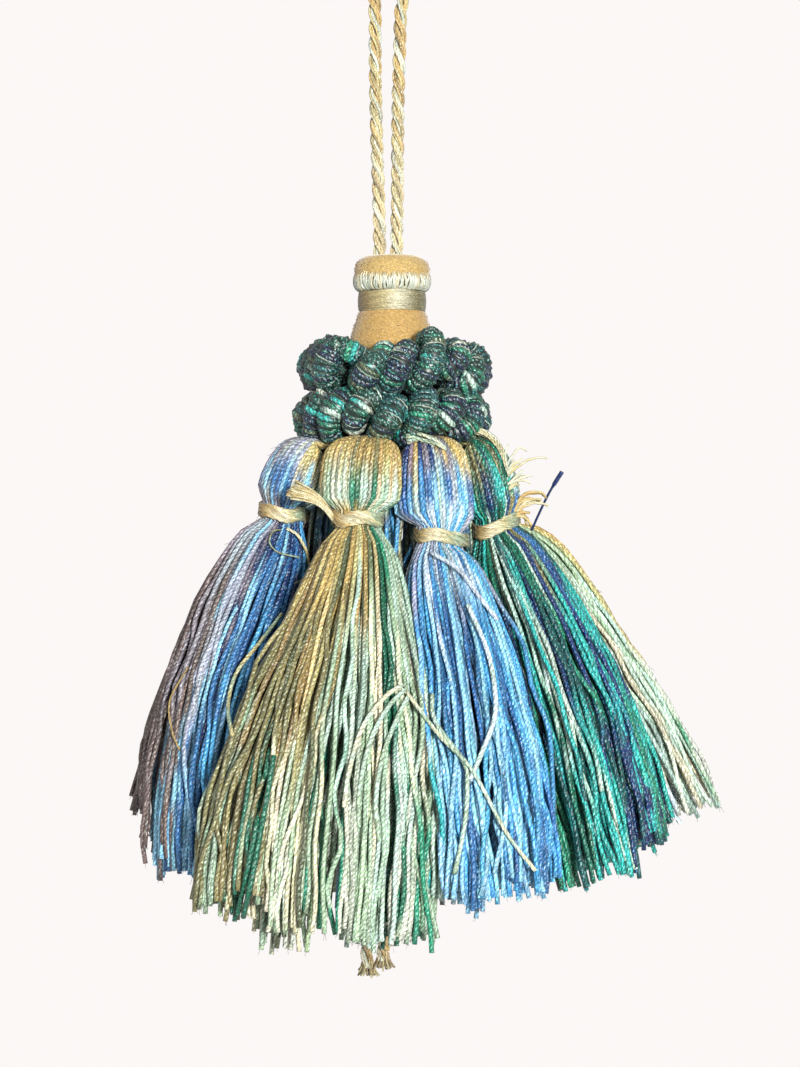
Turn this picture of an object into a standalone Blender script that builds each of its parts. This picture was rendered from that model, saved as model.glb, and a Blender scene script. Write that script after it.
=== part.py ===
"""A key tassel: eight small yarn tassels under a rope ruff, on a wound head with a hanging loop.

The object hangs from its loop. The origin is at the inner top of the loop, +Z is up and the
tassel's front faces -Y. Sizes in the tables are millimetres and degrees, an azimuth of 0 is the
front, and azimuths grow towards +X. Points are scaled to metres as each mesh is made.
"""
import math

import bmesh
import bpy
from mathutils import Vector

MM = 0.001
GAP = 0.3

# ---- driving sizes -------------------------------------------------------------------------

CORD_DIAMETER = 2.1
CORD_POINT_SPACING = 4.8
HEAD_TOP_Z = -50.7
HEAD_BOTTOM_Z = -78.4

# Route of the hanging loop, from the left leg's foot over the crown to the right leg's foot.
LOOP_ROUTE = [  # x, y, z
    (-1.85, 0.0, HEAD_TOP_Z + GAP),
    (-2.00, 0.0, -42.0),
    (-2.33, 0.0, -31.5),
    (-2.47, 0.0, -22.0),
    (-2.60, 0.0, -13.0),
    (-3.25, 0.0, -9.0),
    (-4.10, 0.0, -4.8),
    (-3.20, 0.0, -0.6),
    (0.00, 0.0, CORD_DIAMETER / 2),
    (3.20, 0.0, -0.6),
    (4.10, 0.0, -4.8),
    (2.65, 0.0, -9.0),
    (1.40, 0.0, -13.0),
    (1.20, 0.0, -18.0),
    (1.00, 0.0, -25.0),
    (0.86, 0.0, -31.5),
    (0.78, 0.0, -42.0),
    (0.68, 0.0, HEAD_TOP_Z + GAP),
]

# The two ends of the same cord, below the head and inside the skirt.
TAIL_ROUTES = {  # node: x, y, z of each point
    "cord_tail_left": [
        (-1.85, 0.0, HEAD_BOTTOM_Z - GAP),
        (-1.90, 0.0, -88.0),
        (-2.20, -0.3, -102.0),
        (-2.90, -0.5, -120.0),
        (-3.50, -0.3, -138.0),
        (-3.60, 0.0, -150.0),
        (-3.75, 0.0, -157.0),
    ],
    "cord_tail_right": [
        (0.68, 0.0, HEAD_BOTTOM_Z - GAP),
        (0.60, 0.0, -88.0),
        (0.30, 0.3, -102.0),
        (-0.40, 0.5, -120.0),
        (-1.00, 0.3, -138.0),
        (-1.15, 0.0, -150.0),
        (-1.30, 0.0, -156.0),
    ],
}

HEAD_PROFILE = [  # height, radius: the drum, the neck under the band, and the bell
    (HEAD_TOP_Z, 3.6),
    (-51.3, 4.7),
    (-52.2, 5.4),
    (-53.4, 5.65),
    (-54.8, 5.5),
    (-55.2, 5.1),
    (-55.3, 3.9),
    (-58.7, 3.9),
    (-58.8, 5.1),
    (-61.2, 5.9),
    (-63.8, 6.7),
    (-67.5, 7.2),
    (-73.5, 7.35),
    (-77.2, 7.1),
    (HEAD_BOTTOM_Z, 5.8),
]
HEAD_SIDES = 24

NECK_BAND_PROFILE = [  # height, radius: a closed outline, run down its outer side
    (-55.6, 4.55),
    (-56.2, 4.95),
    (-57.8, 4.95),
    (-58.4, 4.55),
    (-58.4, 4.2),
    (-55.6, 4.2),
]

# The ruff is a thick cord coiled into a rope, and that rope is wound twice round the bell.
RUFF_RADIUS = 11.4
RUFF_ROPE_RADIUS = 3.7
RUFF_GROOVE_DEPTH = 1.0
RUFF_COILS_PER_TURN = 18
RUFF_COIL_LEAN = 5.0
RUFF_LOWER_Z = -74.6
RUFF_TURN_RISE = 7.75
RUFF_START_AZIMUTH = 205.0
RUFF_RISE_FROM = 520.0
RUFF_RISE_TO = 562.0
RUFF_END_AZIMUTH = 876.0
RUFF_END_TAPER = 16.0
RUFF_END_SHARE = 0.15
RUFF_SIDES = 12
RUFF_WAVES = 5
RUFF_WAVE_HEIGHT = 0.45
RUFF_WAVE_AZIMUTH = 35.0

BUNDLE_RING_Z = -79.5
BUNDLE_RING_RADIUS = 8.9
BUNDLE_RING_THICKNESS = 1.5
BUNDLE_RING_SIDES = 32
BUNDLE_RING_SECTION_SIDES = 6

# ---- the eight small tassels ---------------------------------------------------------------

FOLD_Z = -78.75
FOLD_CAP_RISE = 0.1
HEAD_BOW = 0.5
NECK_HALF_WIDTH = 4.0
NECK_HALF_DEPTH = 3.5
HEAD_HALF_DEPTH = 4.2
TIE_HEIGHT = 2.7
TIE_THICKNESS = 0.8
TIE_LEAN = 4.0
NECK_HALF_LENGTH = TIE_HEIGHT / 2 + 2 * GAP

BUNDLE_COLUMNS = ("name", "head_azimuth", "hem_azimuth", "head_reach", "fold_inset",
                  "head_half_width", "tie_reach", "tie_z", "tie_roll", "hem_reach", "hem_z",
                  "hem_half_width", "hem_half_depth", "bow", "hem_rise", "clump_phase")
BUNDLES = [
    ("front_left", -19.0, -17.0, 13.5, 1.0, 6.1, 14.8, -90.0, 0.0, 37.5, -146.5, 16.0, 8.0, 0.6, -1.5, 0.4),
    ("front_right", 28.0, 23.8, 13.6, 1.0, 5.3, 15.0, -92.6, -3.0, 36.0, -143.5, 9.3, 8.5, 0.7, 1.0, 1.3),
    ("right", 71.5, 63.5, 14.6, 1.6, 4.8, 16.2, -90.3, 13.0, 36.5, -139.5, 14.2, 8.0, 0.4, 1.5, 2.9),
    ("right_back", 115.0, 110.0, 13.6, 1.0, 5.0, 16.0, -89.2, -4.0, 43.5, -133.0, 13.6, 7.5, 0.2, 1.0, 0.9),
    ("back_right", 159.0, 157.0, 13.4, 1.0, 4.9, 15.0, -90.6, 5.0, 37.0, -142.0, 13.6, 8.0, 0.6, -1.0, 2.2),
    ("back_left", -157.0, -155.0, 13.4, 1.0, 4.9, 15.0, -89.8, -6.0, 36.0, -143.0, 13.5, 8.0, 0.7, 0.5, 1.8),
    ("left_back", -114.5, -109.7, 13.8, 1.2, 4.9, 15.8, -89.4, 4.0, 35.0, -135.5, 12.7, 7.5, 0.6, 1.0, 3.7),
    ("left", -70.0, -64.0, 15.8, 2.6, 4.9, 17.2, -89.0, -4.0, 32.2, -140.5, 11.6, 8.0, 0.8, -0.5, 0.0),
]

HEAD_COLUMNS = ("drop", "width", "depth")
HEAD_STATIONS = [  # share of the way from the fold to the neck, shares of the head's half sizes
    (0.00, 0.42, 0.30),
    (0.07, 0.76, 0.68),
    (0.22, 0.95, 0.92),
    (0.50, 1.00, 1.00),
    (0.82, 0.84, 0.90),
]

SKIRT_COLUMNS = ("drop", "spread", "clump")
SKIRT_STATIONS = [  # shares of the way from the neck to the hem, and of the clumps' full depth
    (0.06, 0.18, 0.1),
    (0.14, 0.34, 0.2),
    (0.27, 0.51, 0.4),
    (0.43, 0.69, 0.6),
    (0.61, 0.85, 0.8),
    (0.80, 0.95, 0.9),
    (1.00, 1.00, 1.0),
]
BUNDLE_SIDES = 16
CLUMP_DEPTH = 0.07
CLUMP_WAVES = ((3, 1.0, 1.0), (5, 0.7, -2.0))
HEM_UNEVENNESS = 1.1
HEM_WAVES = ((2, 1.0, 3.0), (5, 0.8, 1.0))
HEM_CENTRE_RISE = 0.8

TIE_SECTION = [  # share of the thickness outwards, share of the height: a closed outline
    (0.0, 0.5),
    (0.75, 0.5),
    (1.0, 0.0),
    (0.75, -0.5),
    (0.0, -0.5),
]

# The tie of the front left tassel has its two cut ends showing, frayed to a tuft.
TUFT_BUNDLE = "front_left"
TUFT_REACH = (-5.2, -2.4, 4.4)
TUFT_SECTIONS = [  # share of the reach, radius
    (0.0, 0.35),
    (0.3, 0.9),
    (0.6, 1.1),
    (1.0, 1.7),
]
TUFT_SIDES = 8

MATERIALS = {  # name: base colour, roughness
    "yarn_gold": ((0.56, 0.40, 0.16), 0.55),
    "yarn_cream": ((0.55, 0.56, 0.40), 0.55),
    "yarn_blue": ((0.10, 0.24, 0.52), 0.50),
    "yarn_green": ((0.02, 0.20, 0.16), 0.50),
    "yarn_taupe": ((0.20, 0.16, 0.18), 0.60),
    "yarn_teal": ((0.02, 0.16, 0.14), 0.45),
    "cord_gold": ((0.50, 0.42, 0.22), 0.50),
    "thread_gold": ((0.52, 0.42, 0.22), 0.35),
}
BUNDLE_MATERIALS = {
    "front_left": "yarn_cream",
    "front_right": "yarn_blue",
    "right": "yarn_green",
    "right_back": "yarn_cream",
    "back_right": "yarn_blue",
    "back_left": "yarn_green",
    "left_back": "yarn_taupe",
    "left": "yarn_blue",
}


# ---- helpers -------------------------------------------------------------------------------

def clear_scene():
    """Remove the startup file's objects."""
    for item in list(bpy.data.objects):
        bpy.data.objects.remove(item, do_unlink=True)


def material(name):
    """Return the named Principled material, making it on first use."""
    found = bpy.data.materials.get(name)
    if found:
        return found
    colour, roughness = MATERIALS[name]
    made = bpy.data.materials.new(name)
    made.use_nodes = True
    shader = made.node_tree.nodes["Principled BSDF"]
    shader.inputs["Base Color"].default_value = (*colour, 1.0)
    shader.inputs["Roughness"].default_value = roughness
    shader.inputs["Metallic"].default_value = 0.0
    return made


def add_object(name, data, material_name):
    """Link a mesh or curve to the scene as a named object with its material."""
    data.materials.append(material(material_name))
    item = bpy.data.objects.new(name, data)
    bpy.context.collection.objects.link(item)
    return item


def smooth_route(points, spacing):
    """Read points at about the given spacing from a smooth curve through the route's points."""
    route = [Vector(point) for point in points]
    padded = [route[0] * 2 - route[1]] + route + [route[-1] * 2 - route[-2]]
    result = [route[0]]
    for before, start, end, after in zip(padded, padded[1:], padded[2:], padded[3:]):
        steps = max(1, round((end - start).length / spacing))
        for step in range(1, steps + 1):
            t = step / steps
            result.append(0.5 * (2 * start + (end - before) * t
                                 + (2 * before - 5 * start + 4 * end - after) * t ** 2
                                 + (3 * start - before - 3 * end + after) * t ** 3))
    return result


def tube(name, points, diameter, material_name):
    """Make a cord: a poly curve with a round bevel and closed ends."""
    data = bpy.data.curves.new(name, "CURVE")
    data.dimensions = "3D"
    data.bevel_depth = diameter / 2 * MM
    data.bevel_resolution = 2
    data.use_fill_caps = True
    spline = data.splines.new("POLY")
    spline.points.add(len(points) - 1)
    for target, point in zip(spline.points, points):
        target.co = (*(point * MM), 1.0)
    spline.use_smooth = True
    return add_object(name, data, material_name)


def loft(name, rings, start_cap, end_cap, material_name):
    """Bridge rings of points into one closed mesh, with a fan of faces at each end."""
    mesh = bmesh.new()
    loops = [[mesh.verts.new(point * MM) for point in ring] for ring in rings]
    count = len(rings[0])
    for upper, lower in zip(loops, loops[1:]):
        for i in range(count):
            j = (i + 1) % count
            mesh.faces.new((upper[i], upper[j], lower[j], lower[i]))
    for loop, centre in ((loops[0], start_cap), (loops[-1], end_cap)):
        hub = mesh.verts.new(centre * MM)
        for i in range(count):
            mesh.faces.new((loop[i], loop[(i + 1) % count], hub))
    return finish_mesh(name, mesh, material_name)


def finish_mesh(name, mesh, material_name):
    """Turn the faces outwards, shade them smooth and make the object."""
    bmesh.ops.recalc_face_normals(mesh, faces=mesh.faces)
    data = bpy.data.meshes.new(name)
    mesh.to_mesh(data)
    mesh.free()
    data.shade_smooth()
    data.set_sharp_from_angle(angle=math.radians(50))
    return add_object(name, data, material_name)


def polar(azimuth, reach, height):
    """A point at an azimuth and a distance from the tassel's axis."""
    angle = math.radians(azimuth)
    return Vector((reach * math.sin(angle), -reach * math.cos(angle), height))


def turned(name, profile, sides, material_name, closed_outline):
    """Spin an outline of heights and radii round the tassel's axis."""
    mesh = bmesh.new()
    rings = []
    for side in range(sides):
        azimuth = 360 * side / sides
        rings.append([mesh.verts.new(polar(azimuth, radius, height) * MM)
                      for height, radius in profile])
    count = len(profile)
    edges = count if closed_outline else count - 1
    for side in range(sides):
        here = rings[side]
        there = rings[(side + 1) % sides]
        for i in range(edges):
            j = (i + 1) % count
            mesh.faces.new((here[i], here[j], there[j], there[i]))
    if not closed_outline:
        mesh.faces.new([ring[0] for ring in rings])
        mesh.faces.new([ring[-1] for ring in rings])
    return finish_mesh(name, mesh, material_name)


# ---- cord, head and ruff -------------------------------------------------------------------

def make_cords():
    """The hanging loop and the cord's two ends."""
    loop = smooth_route(LOOP_ROUTE, CORD_POINT_SPACING)
    tube("hanging_loop", loop, CORD_DIAMETER, "cord_gold")
    for name, route in TAIL_ROUTES.items():
        tube(name, smooth_route(route, CORD_POINT_SPACING), CORD_DIAMETER, "cord_gold")


def make_head():
    """The wound mould and the thread band round its neck."""
    turned("head", HEAD_PROFILE, HEAD_SIDES, "yarn_gold", closed_outline=False)
    turned("neck_band", NECK_BAND_PROFILE, HEAD_SIDES, "thread_gold", closed_outline=True)


def ruff_centre(azimuth):
    """Centre of the ruff's rope: two level turns, with the step between them at the back."""
    share = (azimuth - RUFF_RISE_FROM) / (RUFF_RISE_TO - RUFF_RISE_FROM)
    share = min(1.0, max(0.0, share))
    step = share * share * (3 - 2 * share)
    wave = math.cos(math.radians(RUFF_WAVES * (azimuth - RUFF_WAVE_AZIMUTH)))
    height = RUFF_LOWER_Z + RUFF_TURN_RISE * step + RUFF_WAVE_HEIGHT * wave
    return polar(azimuth, RUFF_RADIUS, height)


def ruff_section(azimuth, radius):
    """One section across the rope, leaning along its coils."""
    from_end = min(azimuth - RUFF_START_AZIMUTH, RUFF_END_AZIMUTH - azimuth)
    taper = math.sin(math.pi / 2 * min(1.0, RUFF_END_SHARE + from_end / RUFF_END_TAPER))
    ring = []
    for side in range(RUFF_SIDES):
        angle = 2 * math.pi * side / RUFF_SIDES
        leaning = azimuth + RUFF_COIL_LEAN * math.sin(angle)
        centre = ruff_centre(leaning)
        tangent = (ruff_centre(leaning + 1) - ruff_centre(leaning - 1)).normalized()
        outward = polar(leaning, 1, 0)
        outward = (outward - tangent * outward.dot(tangent)).normalized()
        upward = outward.cross(tangent)
        ring.append(centre + radius * taper * (outward * math.cos(angle)
                                               + upward * math.sin(angle)))
    return ring


def make_ruff():
    """The coiled rope round the bell: wide and narrow sections by turns, one pair for each coil."""
    turns = (RUFF_END_AZIMUTH - RUFF_START_AZIMUTH) / 360
    steps = 2 * round(turns * RUFF_COILS_PER_TURN)
    span = (RUFF_END_AZIMUTH - RUFF_START_AZIMUTH) / steps
    rings = []
    for step in range(steps + 1):
        groove = RUFF_GROOVE_DEPTH * (1 - step % 2)
        rings.append(ruff_section(RUFF_START_AZIMUTH + span * step, RUFF_ROPE_RADIUS - groove))
    start = ruff_centre(RUFF_START_AZIMUTH)
    end = ruff_centre(RUFF_END_AZIMUTH)
    loft("ruff", rings, start, end, "yarn_teal")


def make_bundle_ring():
    """The stringing cord that carries the small tassels."""
    radius = BUNDLE_RING_THICKNESS / 2
    outline = []
    for side in range(BUNDLE_RING_SECTION_SIDES):
        angle = 2 * math.pi * (side + 0.5) / BUNDLE_RING_SECTION_SIDES
        outline.append((BUNDLE_RING_Z + radius * math.sin(angle),
                        BUNDLE_RING_RADIUS + radius * math.cos(angle)))
    turned("bundle_ring", outline, BUNDLE_RING_SIDES, "cord_gold", closed_outline=True)


# ---- small tassels -------------------------------------------------------------------------

def mix(start, end, share):
    return start + (end - start) * share


def bundle_stations(row):
    """Stations down a small tassel, as dicts of place, half sizes, roll and clump depth."""
    lean = math.radians(TIE_LEAN)
    neck_drop = NECK_HALF_LENGTH * math.cos(lean)
    neck_reach = NECK_HALF_LENGTH * math.sin(lean)
    neck_top = (row["tie_reach"] - neck_reach, row["tie_z"] + neck_drop)
    neck_bottom = (row["tie_reach"] + neck_reach, row["tie_z"] - neck_drop)
    stations = []
    for values in HEAD_STATIONS:
        share = dict(zip(HEAD_COLUMNS, values))
        drop = share["drop"]
        bow = HEAD_BOW * math.sin(math.pi * drop)
        fold_reach = row["head_reach"] - row["fold_inset"]
        stations.append(dict(
            reach=mix(fold_reach, neck_top[0], drop) + bow,
            height=mix(FOLD_Z, neck_top[1], drop),
            azimuth=row["head_azimuth"], roll=row["tie_roll"] * drop,
            half_width=row["head_half_width"] * share["width"],
            half_depth=HEAD_HALF_DEPTH * share["depth"], clump=0.0, neck=False))
    for reach, height in (neck_top, neck_bottom):
        stations.append(dict(
            reach=reach, height=height, azimuth=row["head_azimuth"], roll=row["tie_roll"],
            half_width=NECK_HALF_WIDTH, half_depth=NECK_HALF_DEPTH, clump=0.0, neck=True))
    for values in SKIRT_STATIONS:
        share = dict(zip(SKIRT_COLUMNS, values))
        drop = share["drop"]
        stations.append(dict(
            reach=mix(neck_bottom[0], row["hem_reach"],
                      drop + row["bow"] * drop * (1 - drop)),
            height=mix(neck_bottom[1], row["hem_z"], drop),
            azimuth=mix(row["head_azimuth"], row["hem_azimuth"], share["spread"]),
            roll=row["tie_roll"] * (1 - drop),
            half_width=mix(NECK_HALF_WIDTH, row["hem_half_width"], share["spread"]),
            half_depth=mix(NECK_HALF_DEPTH, row["hem_half_depth"], share["spread"]),
            clump=CLUMP_DEPTH * share["clump"], neck=False))
    return stations


def station_frames(stations):
    """Give each station its centre and its directions across, outwards and down the tassel."""
    last = len(stations) - 1
    for index, station in enumerate(stations):
        above = stations[max(0, index - 1)]
        below = stations[min(last, index + 1)]
        if station["neck"]:
            slope = math.radians(TIE_LEAN)
        else:
            slope = math.atan2(below["reach"] - above["reach"], above["height"] - below["height"])
        azimuth = station["azimuth"]
        radial = polar(azimuth, 1, 0)
        down = radial * math.sin(slope) - Vector((0, 0, math.cos(slope)))
        out = radial * math.cos(slope) + Vector((0, 0, math.sin(slope)))
        across = polar(azimuth + 90, 1, 0)
        station["centre"] = polar(azimuth, station["reach"], station["height"])
        station["across"] = across - down * math.tan(math.radians(station["roll"]))
        station["down"] = down
        station["out"] = out
    return stations


def wave_sum(waves, angle, phase):
    """Add up waves given as (count round the outline, weight, share of the phase)."""
    return sum(weight * math.sin(count * angle + turn * phase) for count, weight, turn in waves)


def bundle_ring_points(station, row, hem):
    """The outline of one station, an ellipse with the yarn's clumps in it."""
    phase = row["clump_phase"]
    ring = []
    for side in range(BUNDLE_SIDES):
        angle = 2 * math.pi * side / BUNDLE_SIDES
        swell = 1 + station["clump"] * wave_sum(CLUMP_WAVES, angle, phase)
        point = (station["centre"]
                 + station["across"] * station["half_width"] * swell * math.cos(angle)
                 + station["out"] * station["half_depth"] * swell * math.sin(angle))
        if hem:
            uneven = HEM_UNEVENNESS * wave_sum(HEM_WAVES, angle, phase)
            fall = uneven - row["hem_rise"] * math.cos(angle)
            point += station["down"] * fall
        ring.append(point)
    return ring


def make_bundle(row, stations):
    """One small tassel: fold, head, neck and flared skirt."""
    last = len(stations) - 1
    rings = [bundle_ring_points(station, row, hem=index == last)
             for index, station in enumerate(stations)]
    top = stations[0]["centre"] - stations[0]["down"] * FOLD_CAP_RISE
    hem = stations[-1]["centre"] - stations[-1]["down"] * HEM_CENTRE_RISE
    name = row["name"]
    loft("bundle_" + name, rings, top, hem, BUNDLE_MATERIALS[name])


def neck_place(stations):
    """The middle of a small tassel's neck, and a station that has its directions."""
    upper, lower = [station for station in stations if station["neck"]]
    return (upper["centre"] + lower["centre"]) / 2, upper


def tie_ring(row, stations):
    """The band of thread round a small tassel's neck."""
    centre, neck = neck_place(stations)
    mesh = bmesh.new()
    rings = []
    for side in range(BUNDLE_SIDES):
        angle = 2 * math.pi * side / BUNDLE_SIDES
        ring = []
        for outward, along in TIE_SECTION:
            grow = GAP + outward * TIE_THICKNESS
            width = (NECK_HALF_WIDTH + grow) * math.cos(angle)
            depth = (NECK_HALF_DEPTH + grow) * math.sin(angle)
            point = (centre + neck["across"] * width + neck["out"] * depth
                     - neck["down"] * TIE_HEIGHT * along)
            ring.append(mesh.verts.new(point * MM))
        rings.append(ring)
    count = len(TIE_SECTION)
    for side in range(BUNDLE_SIDES):
        here = rings[side]
        there = rings[(side + 1) % BUNDLE_SIDES]
        for i in range(count):
            j = (i + 1) % count
            mesh.faces.new((here[i], here[j], there[j], there[i]))
    return finish_mesh("tie_" + row["name"], mesh, "thread_gold")


def add_tuft(tie, stations):
    """Join the frayed tuft of the tie's two ends to its band."""
    centre, neck = neck_place(stations)
    start = centre - neck["across"] * (NECK_HALF_WIDTH + GAP + TIE_THICKNESS)
    reach = Vector(TUFT_REACH)
    along = reach.normalized()
    side = along.cross(Vector((0, 0, 1))).normalized()
    up = side.cross(along)
    angles = [2 * math.pi * i / TUFT_SIDES for i in range(TUFT_SIDES)]
    rings = [[start + reach * share + radius * (side * math.cos(angle) + up * math.sin(angle))
              for angle in angles]
             for share, radius in TUFT_SECTIONS]
    tuft = loft("tuft_helper", rings, start, start + reach, "thread_gold")
    tuft.hide_render = True
    tuft.display_type = "WIRE"
    union = tie.modifiers.new("tuft", "BOOLEAN")
    union.operation = "UNION"
    union.solver = "EXACT"
    union.object = tuft


def make_bundles():
    """All the small tassels with their ties."""
    for values in BUNDLES:
        row = dict(zip(BUNDLE_COLUMNS, values))
        stations = station_frames(bundle_stations(row))
        make_bundle(row, stations)
        tie = tie_ring(row, stations)
        if row["name"] == TUFT_BUNDLE:
            add_tuft(tie, stations)


def main():
    clear_scene()
    make_cords()
    make_head()
    make_ruff()
    make_bundle_ring()
    make_bundles()


main()
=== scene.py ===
"""The looks of a key tassel: each yarn, cord and wound thread is a strand of its own.

Tables are in millimetres and degrees, in the part's own frame. The origin is at the inner top of
the hanging loop, +Z is up and the tassel's front faces -Y. An azimuth of 0 is the front, and
azimuths grow towards +X. Points are scaled to metres as each mesh is made.
"""
import math

import bpy
import numpy as np
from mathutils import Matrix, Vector
from mathutils.bvhtree import BVHTree


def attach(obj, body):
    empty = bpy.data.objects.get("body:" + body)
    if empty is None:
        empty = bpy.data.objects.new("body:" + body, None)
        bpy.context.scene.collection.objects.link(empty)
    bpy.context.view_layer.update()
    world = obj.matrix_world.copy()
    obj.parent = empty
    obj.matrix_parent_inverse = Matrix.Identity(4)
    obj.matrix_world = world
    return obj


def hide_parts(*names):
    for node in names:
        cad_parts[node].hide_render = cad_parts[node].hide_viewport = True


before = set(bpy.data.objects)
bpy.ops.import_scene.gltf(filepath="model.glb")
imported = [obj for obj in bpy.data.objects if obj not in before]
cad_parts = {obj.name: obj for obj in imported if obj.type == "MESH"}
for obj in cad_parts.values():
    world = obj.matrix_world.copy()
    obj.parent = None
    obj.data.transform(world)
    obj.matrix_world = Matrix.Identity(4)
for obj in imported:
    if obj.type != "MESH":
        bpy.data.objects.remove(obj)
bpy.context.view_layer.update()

MM = 0.001
TURN = 2 * math.pi
GOLDEN_SHARE = (3 - math.sqrt(5)) / 2

# ---- sizes shared with the part ------------------------------------------------------------

CORD_DIAMETER = 2.1
HEAD_TOP_Z = -50.7
HEAD_BOTTOM_Z = -78.4
GAP = 0.3

LOOP_ROUTE = [  # x, y, z
    (-1.85, 0.0, HEAD_TOP_Z + GAP),
    (-2.00, 0.0, -42.0),
    (-2.33, 0.0, -31.5),
    (-2.47, 0.0, -22.0),
    (-2.60, 0.0, -13.0),
    (-3.25, 0.0, -9.0),
    (-4.10, 0.0, -4.8),
    (-3.20, 0.0, -0.6),
    (0.00, 0.0, CORD_DIAMETER / 2),
    (3.20, 0.0, -0.6),
    (4.10, 0.0, -4.8),
    (2.65, 0.0, -9.0),
    (1.40, 0.0, -13.0),
    (1.20, 0.0, -18.0),
    (1.00, 0.0, -25.0),
    (0.86, 0.0, -31.5),
    (0.78, 0.0, -42.0),
    (0.68, 0.0, HEAD_TOP_Z + GAP),
]

TAIL_ROUTES = {  # node: x, y, z of each point
    "cord_tail_left": [
        (-1.85, 0.0, HEAD_BOTTOM_Z - GAP),
        (-1.90, 0.0, -88.0),
        (-2.20, -0.3, -102.0),
        (-2.90, -0.5, -120.0),
        (-3.50, -0.3, -138.0),
        (-3.60, 0.0, -150.0),
        (-3.75, 0.0, -157.0),
    ],
    "cord_tail_right": [
        (0.68, 0.0, HEAD_BOTTOM_Z - GAP),
        (0.60, 0.0, -88.0),
        (0.30, 0.3, -102.0),
        (-0.40, 0.5, -120.0),
        (-1.00, 0.3, -138.0),
        (-1.15, 0.0, -150.0),
        (-1.30, 0.0, -156.0),
    ],
}

RUFF_RADIUS = 11.4
RUFF_COIL_LEAN = 3.5
RUFF_LOWER_Z = -74.6
RUFF_TURN_RISE = 7.75
RUFF_START_AZIMUTH = 205.0
RUFF_RISE_FROM = 520.0
RUFF_RISE_TO = 562.0
RUFF_END_AZIMUTH = 876.0
RUFF_END_TAPER = 16.0
RUFF_END_SHARE = 0.15
RUFF_WAVES = 5
RUFF_WAVE_HEIGHT = 0.45
RUFF_WAVE_AZIMUTH = 35.0

BUNDLE_RING_Z = -79.5
BUNDLE_RING_RADIUS = 8.9
BUNDLE_RING_THICKNESS = 1.5

FOLD_Z = -78.75
HEAD_BOW = 0.5
NECK_HALF_WIDTH = 3.6
NECK_HALF_DEPTH = 3.15
HEAD_HALF_DEPTH = 4.2
TIE_HEIGHT = 2.7
TIE_LEAN = 4.0
YARN_NECK_HALF_LENGTH = TIE_HEIGHT / 2

BUNDLE_COLUMNS = ("name", "head_azimuth", "hem_azimuth", "head_reach", "fold_inset",
                  "head_half_width", "tie_reach", "tie_z", "tie_roll", "hem_reach", "hem_z",
                  "hem_half_width", "hem_half_depth", "bow", "hem_rise", "clump_phase")
BUNDLES = [
    ("front_left", -19.0, -17.0, 13.5, 1.0, 6.1, 14.8, -90.0, 0.0,
     37.5, -146.5, 16.0, 8.0, 0.6, -1.5, 0.4),
    ("front_right", 28.0, 23.8, 13.6, 1.0, 5.3, 15.0, -92.6, -3.0,
     36.0, -143.5, 9.3, 8.5, 0.7, 1.0, 1.3),
    ("right", 71.5, 63.5, 14.6, 1.6, 4.8, 16.2, -90.3, 13.0,
     36.5, -139.5, 14.2, 8.0, 0.4, 1.5, 2.9),
    ("right_back", 115.0, 110.0, 13.6, 1.0, 5.0, 16.0, -89.2, -4.0,
     43.5, -133.0, 13.6, 7.5, 0.2, 1.0, 0.9),
    ("back_right", 159.0, 157.0, 13.4, 1.0, 4.9, 15.0, -90.6, 5.0,
     37.0, -142.0, 13.6, 8.0, 0.6, -1.0, 2.2),
    ("back_left", -157.0, -155.0, 13.4, 1.0, 4.9, 15.0, -89.8, -6.0,
     36.0, -143.0, 13.5, 8.0, 0.7, 0.5, 1.8),
    ("left_back", -114.5, -109.7, 13.8, 1.2, 4.9, 15.8, -89.4, 4.0,
     35.0, -135.5, 12.7, 7.5, 0.6, 1.0, 3.7),
    ("left", -70.0, -64.0, 15.8, 2.6, 4.9, 17.2, -89.0, -4.0,
     32.2, -140.5, 11.6, 8.0, 0.8, -0.5, 0.0),
]

HEAD_STATIONS = [  # share of the way from the fold to the neck, shares of the head's half sizes
    (0.00, 0.74, 0.30),
    (0.07, 0.90, 0.68),
    (0.22, 1.00, 0.92),
    (0.50, 1.02, 1.00),
    (0.84, 1.00, 1.00),
]
SKIRT_STATIONS = [  # share of the way from the neck to the hem, share of the spread
    (0.06, 0.18),
    (0.14, 0.34),
    (0.27, 0.51),
    (0.43, 0.69),
    (0.61, 0.85),
    (0.80, 0.95),
    (1.00, 1.00),
]
HEM_UNEVENNESS = 1.1
HEM_WAVES = ((2, 1.0, 3.0), (5, 0.8, 1.0))

# ---- colours, as display values from 0 to 255 ----------------------------------------------

DYES = {
    "gold": (174, 148, 90),
    "honey": (168, 136, 78),
    "old_gold": (136, 114, 68),
    "straw": (174, 162, 112),
    "olive": (114, 108, 70),
    "moss": (72, 80, 52),
    "sage": (138, 160, 134),
    "mist": (162, 186, 172),
    "cream": (196, 192, 162),
    "silver": (180, 187, 170),
    "pine": (12, 54, 44),
    "deep_green": (14, 88, 66),
    "green": (32, 120, 92),
    "teal": (34, 148, 140),
    "dark_teal": (14, 66, 68),
    "navy": (12, 36, 84),
    "midnight": (12, 20, 50),
    "dark_blue": (38, 90, 140),
    "blue": (64, 142, 190),
    "sky": (126, 180, 208),
    "pale": (184, 200, 212),
    "lilac": (142, 150, 163),
    "mauve": (122, 114, 124),
    "taupe": (98, 83, 80),
}

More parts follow.
